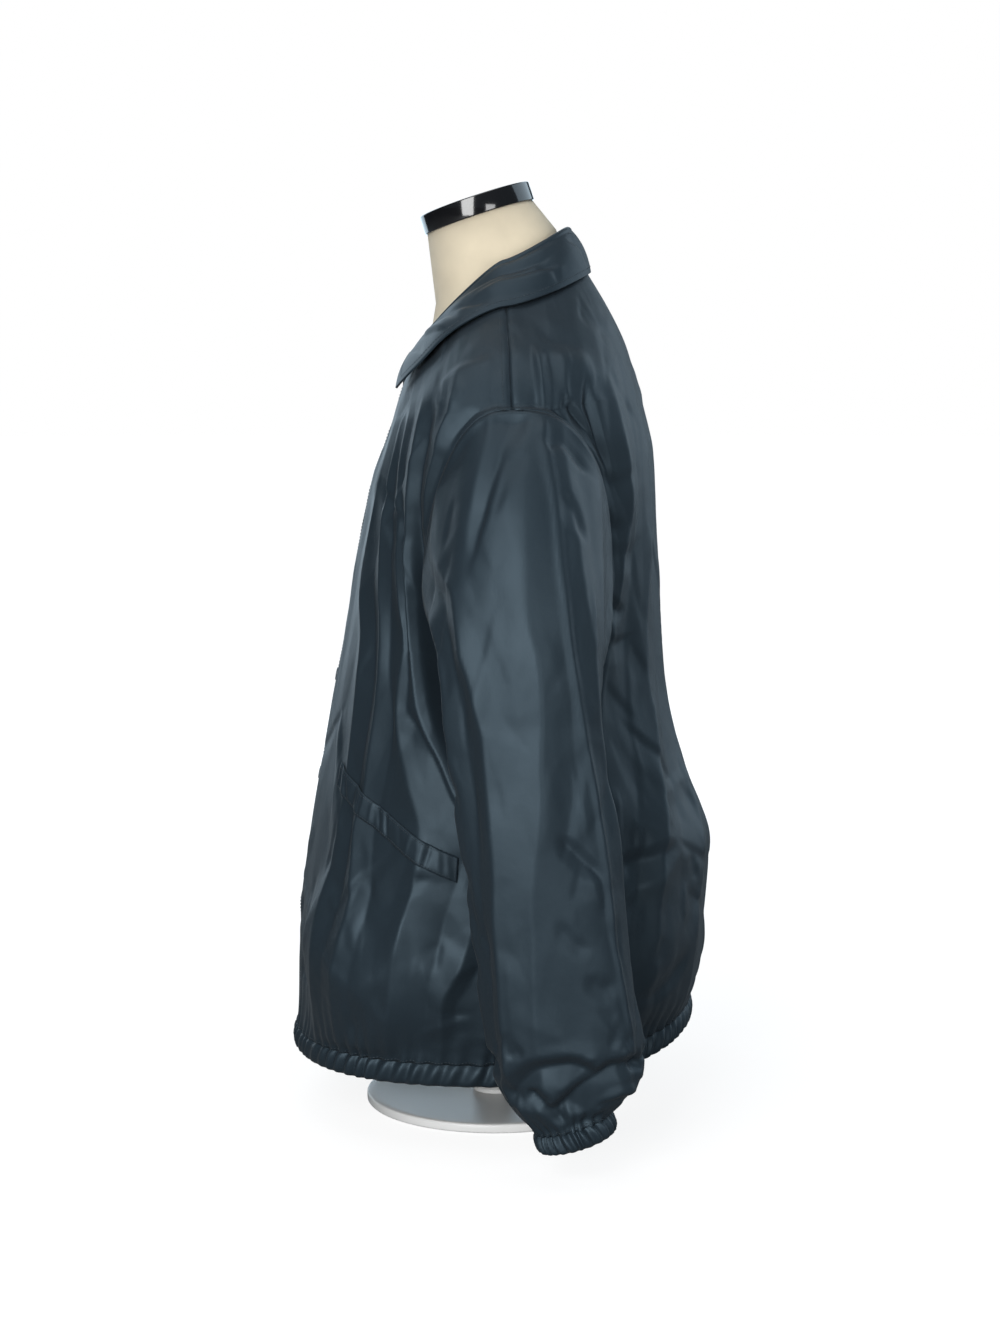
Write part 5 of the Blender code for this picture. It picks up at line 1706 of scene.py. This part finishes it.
SEWING, FINE_SEWING = Sewing(), Sewing(pitch=0.0030, long=0.0022)


def body_line(body: Body, angle: Array, v: Array, lift: float = 0.0) -> tuple[Array, Array]:
    """Points and normals of a line on the creased body."""
    angle, v = (np.asarray(x, float) for x in np.broadcast_arrays(angle, v))
    return body.surface(angle, v, lift), body.plain.normal(angle, v)


def sew_body(body: Body, material: Material) -> Thing:
    """Stitches of the front edge, the hem seam and the shoulder seams."""
    up, top = np.linspace(*EDGE_ENDS, EDGE_POINTS), np.linspace(*SHOULDER_ENDS, SHOULDER_POINTS)
    lines = [body_line(body, angle, up, STITCH_LIFT) for angle in EDGE_ANGLES]
    lines.append(body_line(body, np.linspace(*HEM_ENDS, HEM_POINTS), HEM_V, CASING_LIFT))
    lines.extend(body_line(body, angle, top, STITCH_LIFT) for angle in SHOULDER_ANGLES)
    return SEWING.build("stitching_body", lines, material)


def sew_welt(welt: Welt, body: Body, material: Material) -> Thing:
    """Stitches along both edges and the ends of a welt."""
    share, across = np.linspace(*WELT_ENDS, WELT_POINTS), np.linspace(*WELT_EDGES, WELT_END_POINTS)
    places = [welt.places(edge, share) for edge in WELT_EDGES]
    places.extend(welt.places(across, end) for end in WELT_ENDS)
    lines = [body_line(body, *place, WELT_STITCH_LIFT) for place in places]
    return FINE_SEWING.build("stitching_" + welt.name, lines, material)


def sew_collar(points: Array, normal: Array, thickness: float, material: Material) -> Thing:
    """Stitches along the collar's edge and its two fronts."""
    face = points + normal * (0.5 * thickness)
    inner = slice(COLLAR_INSET, -COLLAR_INSET)
    rows = slice(-COLLAR_FRONT_ROWS, -COLLAR_INSET)
    places = [(-COLLAR_INSET, inner), (rows, COLLAR_INSET), (rows, -COLLAR_INSET - 1)]
    return SEWING.build("stitching_collar", [(face[place], normal[place]) for place in places], material)


def sew_sleeve(sleeve: Sleeve, body: Body, material: Material) -> Thing:
    """Stitches along the cuff seam."""
    step = np.linspace(0.0, 2 * ARMHOLE_STEPS, CUFF_POINTS)
    points, inner = (sleeve.surface(body, CUFF_T, step, lift) for lift in (CASING_LIFT, INWARD))
    return FINE_SEWING.build("stitching_" + sleeve.name, [(points, unit(points - inner))], material)


# Hard pieces

FLAT = 0.9  # how upright the normal of a flat end's face is, at the least
SHARP, SMOOTH = 40.0, 50.0  # degrees of the edges that are rounded, and of those that look smooth


class Facing(Enum):
    """Which flat end of a turned piece is meant."""

    TOP = 1.0
    UNDER = -1.0


def edit_faces(thing: Thing, facing: Facing) -> None:
    """Enter edit mode with only the flat faces at one end selected.

    Args:
        thing: The turned piece.
        facing: Which end.
    """
    select_only(thing)
    bpy.ops.object.mode_set(mode="EDIT")
    bpy.ops.mesh.select_mode(type="FACE")
    bpy.ops.mesh.select_all(action="DESELECT")
    mesh = bmesh.from_edit_mesh(thing.data)
    far = max(facing.value * f.calc_center_median().z for f in mesh.faces)
    for face in mesh.faces:
        level = facing.value * face.calc_center_median().z > far - SMALL
        face.select_set(level and facing.value * face.normal.z > FLAT)
    bmesh.update_edit_mesh(thing.data)


def turned(name: str, radius: float, depth: float, vertices: int) -> Thing:
    """A cylinder standing on the origin, ready to be shaped.

    Args:
        name: Name of the piece.
        radius: Its radius.
        depth: Its height.
        vertices: Corners round it.

    Returns:
        The new object.
    """
    bpy.ops.object.select_all(action="DESELECT")
    bpy.ops.mesh.primitive_cylinder_add(vertices=vertices, radius=radius, depth=depth,
                                        location=(0, 0, depth / 2))
    thing = bpy.context.object
    thing.name = name
    bpy.ops.object.transform_apply(location=True, rotation=True, scale=True)
    return thing


def inset_steps(thing: Thing, steps: Sequence[Pair], size: float = 1.0,
                tall: float = 1.0) -> None:
    """Step the top in and up from rim to middle, by widths in one size and depths in another."""
    edit_faces(thing, Facing.TOP)
    for wide, deep in steps:
        bpy.ops.mesh.inset(thickness=size * wide, depth=tall * deep)
    bpy.ops.object.mode_set(mode="OBJECT")


def round_off(thing: Thing, width: float, segments: int = 3) -> None:
    """Round the sharp edges of a hard piece."""
    bevel(thing, width, segments, SHARP)
    bpy.ops.object.shade_smooth_by_angle(angle=math.radians(SMOOTH))


def settle(thing: Thing, matrix: Matrix) -> None:
    """Put a piece in its place and leave the place in its mesh."""
    thing.data.transform(matrix)
    thing.data.update()


@dataclass(frozen=True)
class SnapRow:
    """Snap caps down the centre front."""

    rows: tuple[float, ...] = (0.955, 0.745, 0.595, 0.455, 0.325, 0.195)
    radius: float = 0.0065
    tall: float = 0.0022
    rim: float = 0.62  # share of its height
    edge: float = 0.00025
    lift: float = 0.0002
    # Steps of its top, as shares of its radius and height
    steps: tuple[Pair, ...] = ((0.16, 0.18), (0.12, -0.12), (0.10, 0.10), (0.30, 0.14))

    def build(self, body: Body, material: Material) -> list[Thing]:
        """Model one cap and set a copy of it at each place.

        Args:
            body: The creased body.
            material: The caps' finish.

        Returns:
            The caps, from the top one down.
        """
        cap = turned("snap_model", self.radius, self.tall * self.rim, vertices=40)
        inset_steps(cap, self.steps, self.radius, self.tall)
        round_off(cap, self.edge, segments=2)
        made = []
        for number, v in enumerate(self.rows, start=1):
            place, spot = np.zeros(1), np.full(1, v)
            normal = Vector(body.plain.normal(place, spot)[0])
            point = Vector(body.surface(place, spot, self.lift)[0])
            snap = bpy.data.objects.new("snap_%d_cap" % number, cap.data.copy())
            bpy.context.scene.collection.objects.link(snap)
            turn = normal.to_track_quat("Z", "Y").to_matrix().to_4x4()
            settle(snap, Matrix.Translation(point) @ turn)
            dress(snap, material, Slot.SNAP, "snap_%d" % number)
            made.append(snap)
        bpy.data.objects.remove(cap, do_unlink=True)
        return made


@dataclass(frozen=True)
class DressForm:
    """Limbless torso with a neck cap, on a pole and a base."""

    lower: tuple[Ring, ...] = (
        Ring(0.00, 0.150, 0.150, 0.150, 0.146, -0.104, 0.012, 0.122),
        Ring(0.10, 0.172, 0.172, 0.172, 0.160, -0.114, 0.012, 0.136),
        Ring(0.30, 0.330, 0.330, 0.330, 0.147, -0.102, 0.012, 0.118),
        Ring(0.60, 0.520, 0.520, 0.520, 0.178, -0.116, 0.015, 0.140),
        Ring(0.85, 0.632, 0.632, 0.632, 0.192, -0.106, 0.016, 0.144),
        Ring(1.00, 0.672, 0.690, 0.706, 0.196, -0.0930, 0.015, 0.129),
    )
    neck: tuple[Ring, ...] = (
        Ring(0.0, 0.7640, 0.8270, 0.8540, 0.0640, -0.0640, 0.006, 0.0660),
        Ring(1.0, 0.8000, 0.8420, 0.8720, 0.0585, -0.0580, 0.001, 0.0600),
    )
    shoulder_v: tuple[float, ...] = (0.88, 0.91, 0.94, 0.97, 0.999)
    inset: float = 0.0045
    ease: float = 0.0045
    columns: int = 96
    lower_rows: int = 30
    cover_round: float = 0.9  # metres of cover round the torso, for its weave
    neck_radius: float = 0.0540
    cap_centre: Triple = (0.0, -0.0147, 0.8836)
    cap_tilt: float = math.radians(18.0)
    cap_radius: float = 0.0560
    cap_tall: float = 0.0185
    pole_radius: float = 0.013
    pole_ends: Pair = (0.0006, 0.0003)  # depth in the base, and gap under the torso
    foot_steps: Pair = (0.006, 0.004)  # heights of the pole's flared foot and its plate
    foot_spread: float = 1.7
    base_radius: float = 0.130
    base_tall: float = 0.009
    # Steps of the tops of the cap and the base: widths and depths
    cap_steps: tuple[Pair, ...] = ((0.006, 0.0), (0.0012, -0.0010), (0.016, 0.0022),
                                                  (0.016, 0.0008))
    base_steps: tuple[Pair, ...] = ((0.010, 0.0), (0.002, -0.0008))

    def torso(self, body: Body, material: Material) -> Thing:
        """Smooth torso: lower rings, shoulders under the cloth, then the neck.

        Args:
            body: The creased body.
            material: The cover's finish.

        Returns:
            The finished torso.
        """
        angle = np.linspace(0.0, 360.0, self.columns + 1)[:-1]
        stack = RingStack(self.lower)
        levels = np.linspace(0.0, 1.0, self.lower_rows)
        rows = [stack.point(angle, np.full_like(angle, v)) for v in levels]
        room = (self.inset + self.ease * np.cos(np.radians(angle)) ** 2)[:, None]
        for v in self.shoulder_v:
            level = np.full_like(angle, v)
            rows.append(body.plain.point(angle, level) - body.plain.normal(angle, level) * room)
        rows.extend(stack.ring_point(ring, angle) for ring in self.neck)
        ahead = -self.neck_radius * np.cos(np.radians(angle))
        circle = [self.neck_radius * np.sin(np.radians(angle)), ahead * math.cos(self.cap_tilt),
                  ahead * math.sin(self.cap_tilt)]
        rows.append(np.array(self.cap_centre) + np.stack(circle, -1))
        points = np.array(rows)
        columns = np.arange(self.columns + 1) / self.columns * self.cover_round
        heights = points[..., 2].mean(1)
        cloth = np.stack(np.meshgrid(columns, heights), -1)
        thing = grid_object("form_torso_cover", points, cloth, closed=True)
        select_only(thing)
        bpy.ops.object.mode_set(mode="EDIT")
        bpy.ops.mesh.select_mode(type="EDGE")
        bpy.ops.mesh.select_all(action="DESELECT")
        bpy.ops.mesh.select_non_manifold()
        bpy.ops.mesh.edge_face_add()
        bpy.ops.object.mode_set(mode="OBJECT")
        dress(thing, material, Slot.LINEN, "form_torso")
        return thing

    def cap(self, material: Material) -> Thing:
        """Glossy band with a slightly domed top, tilted on the neck.

        Args:
            material: The band's finish.

        Returns:
            The finished cap.
        """
        thing = turned("form_neck_cap_band", self.cap_radius, self.cap_tall, self.columns)
        inset_steps(thing, self.cap_steps)
        round_off(thing, width=0.0012)
        settle(thing, Matrix.Translation(self.cap_centre) @ Matrix.Rotation(self.cap_tilt, 4, "X"))
        dress(thing, material, Slot.CAP, "form_neck_cap")
        return thing

    def stand(self, material: Material) -> list[Thing]:
        """Pole with a flared foot, and a round base.

        Args:
            material: The paint.

        Returns:
            The base and the pole.
        """
        base = turned("form_base_plate", self.base_radius, self.base_tall, self.columns)
        inset_steps(base, self.base_steps)
        round_off(base, width=0.002)
        dress(base, material, Slot.STAND, "form_base")
        seat, gap = self.pole_ends
        foot, top = self.base_tall - seat + sum(self.foot_steps), self.lower[0].z_front - gap
        pole = turned("form_pole_tube", self.pole_radius, top - foot, self.columns // 2)
        edit_faces(pole, Facing.UNDER)
        flare, plate = self.foot_steps
        bpy.ops.mesh.extrude_region_move(TRANSFORM_OT_translate={"value": (0.0, 0.0, -flare)})
        bpy.ops.transform.resize(value=(self.foot_spread, self.foot_spread, 1.0))
        bpy.ops.mesh.extrude_region_move(TRANSFORM_OT_translate={"value": (0.0, 0.0, -plate)})
        bpy.ops.object.mode_set(mode="OBJECT")
        round_off(pole, width=0.0008)
        settle(pole, Matrix.Translation((0.0, 0.0, foot)))
        dress(pole, material, Slot.STAND, "form_pole")
        return [base, pole]


# Stage

@dataclass(frozen=True)
class Softbox:
    """One soft light, aimed at the jacket."""

    name: str
    place: Triple
    size: Pair
    watts: float
    colour: Triple = WHITE
    aim: Triple = (0.0, 0.0, 0.5)

    def build(self) -> None:
        """Add the light to the scene."""
        light = bpy.data.lights.new(self.name, "AREA")
        light.shape = "RECTANGLE"
        light.size, light.size_y = self.size
        light.energy = self.watts
        light.color = self.colour
        thing = bpy.data.objects.new(self.name, light)
        thing.location = self.place
        thing.visible_camera = False
        aim = Vector(self.aim) - Vector(self.place)
        thing.rotation_euler = aim.to_track_quat("-Z", "Y").to_euler()
        bpy.context.scene.collection.objects.link(thing)


COOL = (0.70, 0.87, 1.0)
SOFTBOXES = (
    Softbox("key", (2.7, -0.9, 1.15), (1.2, 2.3), 84.0),
    Softbox("fill", (2.5, 1.25, 0.60), (0.9, 1.1), 20.0),
    Softbox("overhead", (0.4, -0.3, 2.8), (2.2, 1.6), 19.0),
    Softbox("rear", (-1.4, 2.4, 1.5), (3.0, 2.6), 34.0, COOL),
    Softbox("far_side", (-2.6, -0.8, 1.3), (3.0, 2.6), 42.0, COOL),
)
WORLD_LIGHT = 0.12
FLOOR_RADIUS, FLOOR_GREY, FLOOR_ROUGH = 30.0, 0.22, 0.9
FLOOR_GLOW, GLOW_REACH = 0.86, (0.3, 2.2)  # glow near the stand, and where it starts to grow and ends
CAMERA_PLACE = (2.5, 0.005, 0.727)
CAMERA_PITCH = math.radians(6.53)
CAMERA_LENS = 67.95
SENSOR_HEIGHT = 36.0


def build_camera() -> None:
    """Camera at the photograph's place, looking along -X and a little down."""
    data = bpy.data.cameras.new("camera")
    data.sensor_fit = "VERTICAL"
    data.sensor_height = SENSOR_HEIGHT
    data.lens = CAMERA_LENS
    camera = bpy.data.objects.new("camera", data)
    camera.location = CAMERA_PLACE
    camera.rotation_euler = (math.pi / 2 - CAMERA_PITCH, 0.0, math.pi / 2)
    bpy.context.scene.collection.objects.link(camera)
    bpy.context.scene.camera = camera


def build_world() -> None:
    """White surround that lights the jacket less than it shows."""
    world = bpy.data.worlds.new("studio")
    bpy.context.scene.world = world
    world.use_nodes = True
    tree = world.node_tree
    sky = tree.nodes["Background"]
    seen = add_node(tree, "LightPath").outputs["Is Camera Ray"]
    spread = add_node(tree, "MapRange", {"To Min": WORLD_LIGHT, "To Max": 1.0}, {"Value": seen})
    colours = {"A": (*COOL, 1.0), "B": (*WHITE, 1.0)}
    shade = add_node(tree, "Mix", colours, {"Factor": seen}, data_type="RGBA")
    tree.links.new(shade.outputs["Result"], sky.inputs["Color"])
    tree.links.new(spread.outputs["Result"], sky.inputs["Strength"])


def build_floor() -> None:
    """Wide pale floor that shows as white further out."""
    bpy.ops.object.select_all(action="DESELECT")
    bpy.ops.mesh.primitive_circle_add(vertices=96, radius=FLOOR_RADIUS, fill_type="NGON")
    floor = bpy.context.object
    floor.name = "floor"
    material = bpy.data.materials.new("pale_floor")
    material.use_nodes = True
    tree = material.node_tree
    shader = tree.nodes["Principled BSDF"]
    shader.inputs["Base Color"].default_value = (FLOOR_GREY, FLOOR_GREY, FLOOR_GREY, 1.0)
    shader.inputs["Roughness"].default_value = FLOOR_ROUGH
    shader.inputs["Specular IOR Level"].default_value = 0.0
    shader.inputs["Emission Color"].default_value = (*WHITE, 1.0)
    seen = add_node(tree, "LightPath").outputs["Is Camera Ray"]
    place = add_node(tree, "TexCoord").outputs["Object"]
    away = add_node(tree, "VectorMath", links={0: place}, operation="LENGTH").outputs["Value"]
    ends = dict(zip(("From Min", "From Max", "To Min", "To Max"), (*GLOW_REACH, FLOOR_GLOW, 1.0)))
    spread = add_node(tree, "MapRange", ends, {"Value": away}).outputs["Result"]
    glow = add_node(tree, "Math", links={0: seen, 1: spread}, operation="MULTIPLY")
    tree.links.new(glow.outputs["Value"], shader.inputs["Emission Strength"])
    floor.data.materials.append(material)


def build_stage() -> None:
    """Camera, lights, surround and floor."""
    build_camera()
    build_world()
    build_floor()
    for softbox in SOFTBOXES:
        softbox.build()
    bpy.context.scene.view_settings.view_transform = "Standard"


def write_sizes() -> None:
    """Update the placements of every object in the view layer."""
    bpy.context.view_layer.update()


def main() -> None:
    """Build every piece in order and report it."""
    logging.basicConfig(level=logging.INFO, format="%(name)s %(message)s")
    build_stage()
    nylon, thread = NYLON.build(), THREAD.build()
    body = Body()
    sewn = sew_body(body, thread)
    for panel in PANELS:
        thing = panel.build(body, nylon)
    for sleeve in (Sleeve("sleeve_left", 1.0), Sleeve("sleeve_right", -1.0)):
        thing = sleeve.build(body, nylon)
        sew_sleeve(sleeve, body, thread)
        cuff = build_cuff(sleeve, nylon)
    hem = build_hem(body, nylon)
    collar = Collar()
    thing, points, normal = collar.build(body, nylon)
    sew_collar(points, normal, collar.thickness, thread)
    for welt in (Welt("welt_left", 1.0), Welt("welt_right", -1.0)):
        thing = welt.build(body, nylon)
        sew_welt(welt, body, thread)
    SnapRow().build(body, SNAP.build())
    form = DressForm()
    form.torso(body, LINEN.build())
    form.cap(CAP.build())
    form.stand(STAND.build())
    write_sizes()


if __name__ == "__main__":
    main()
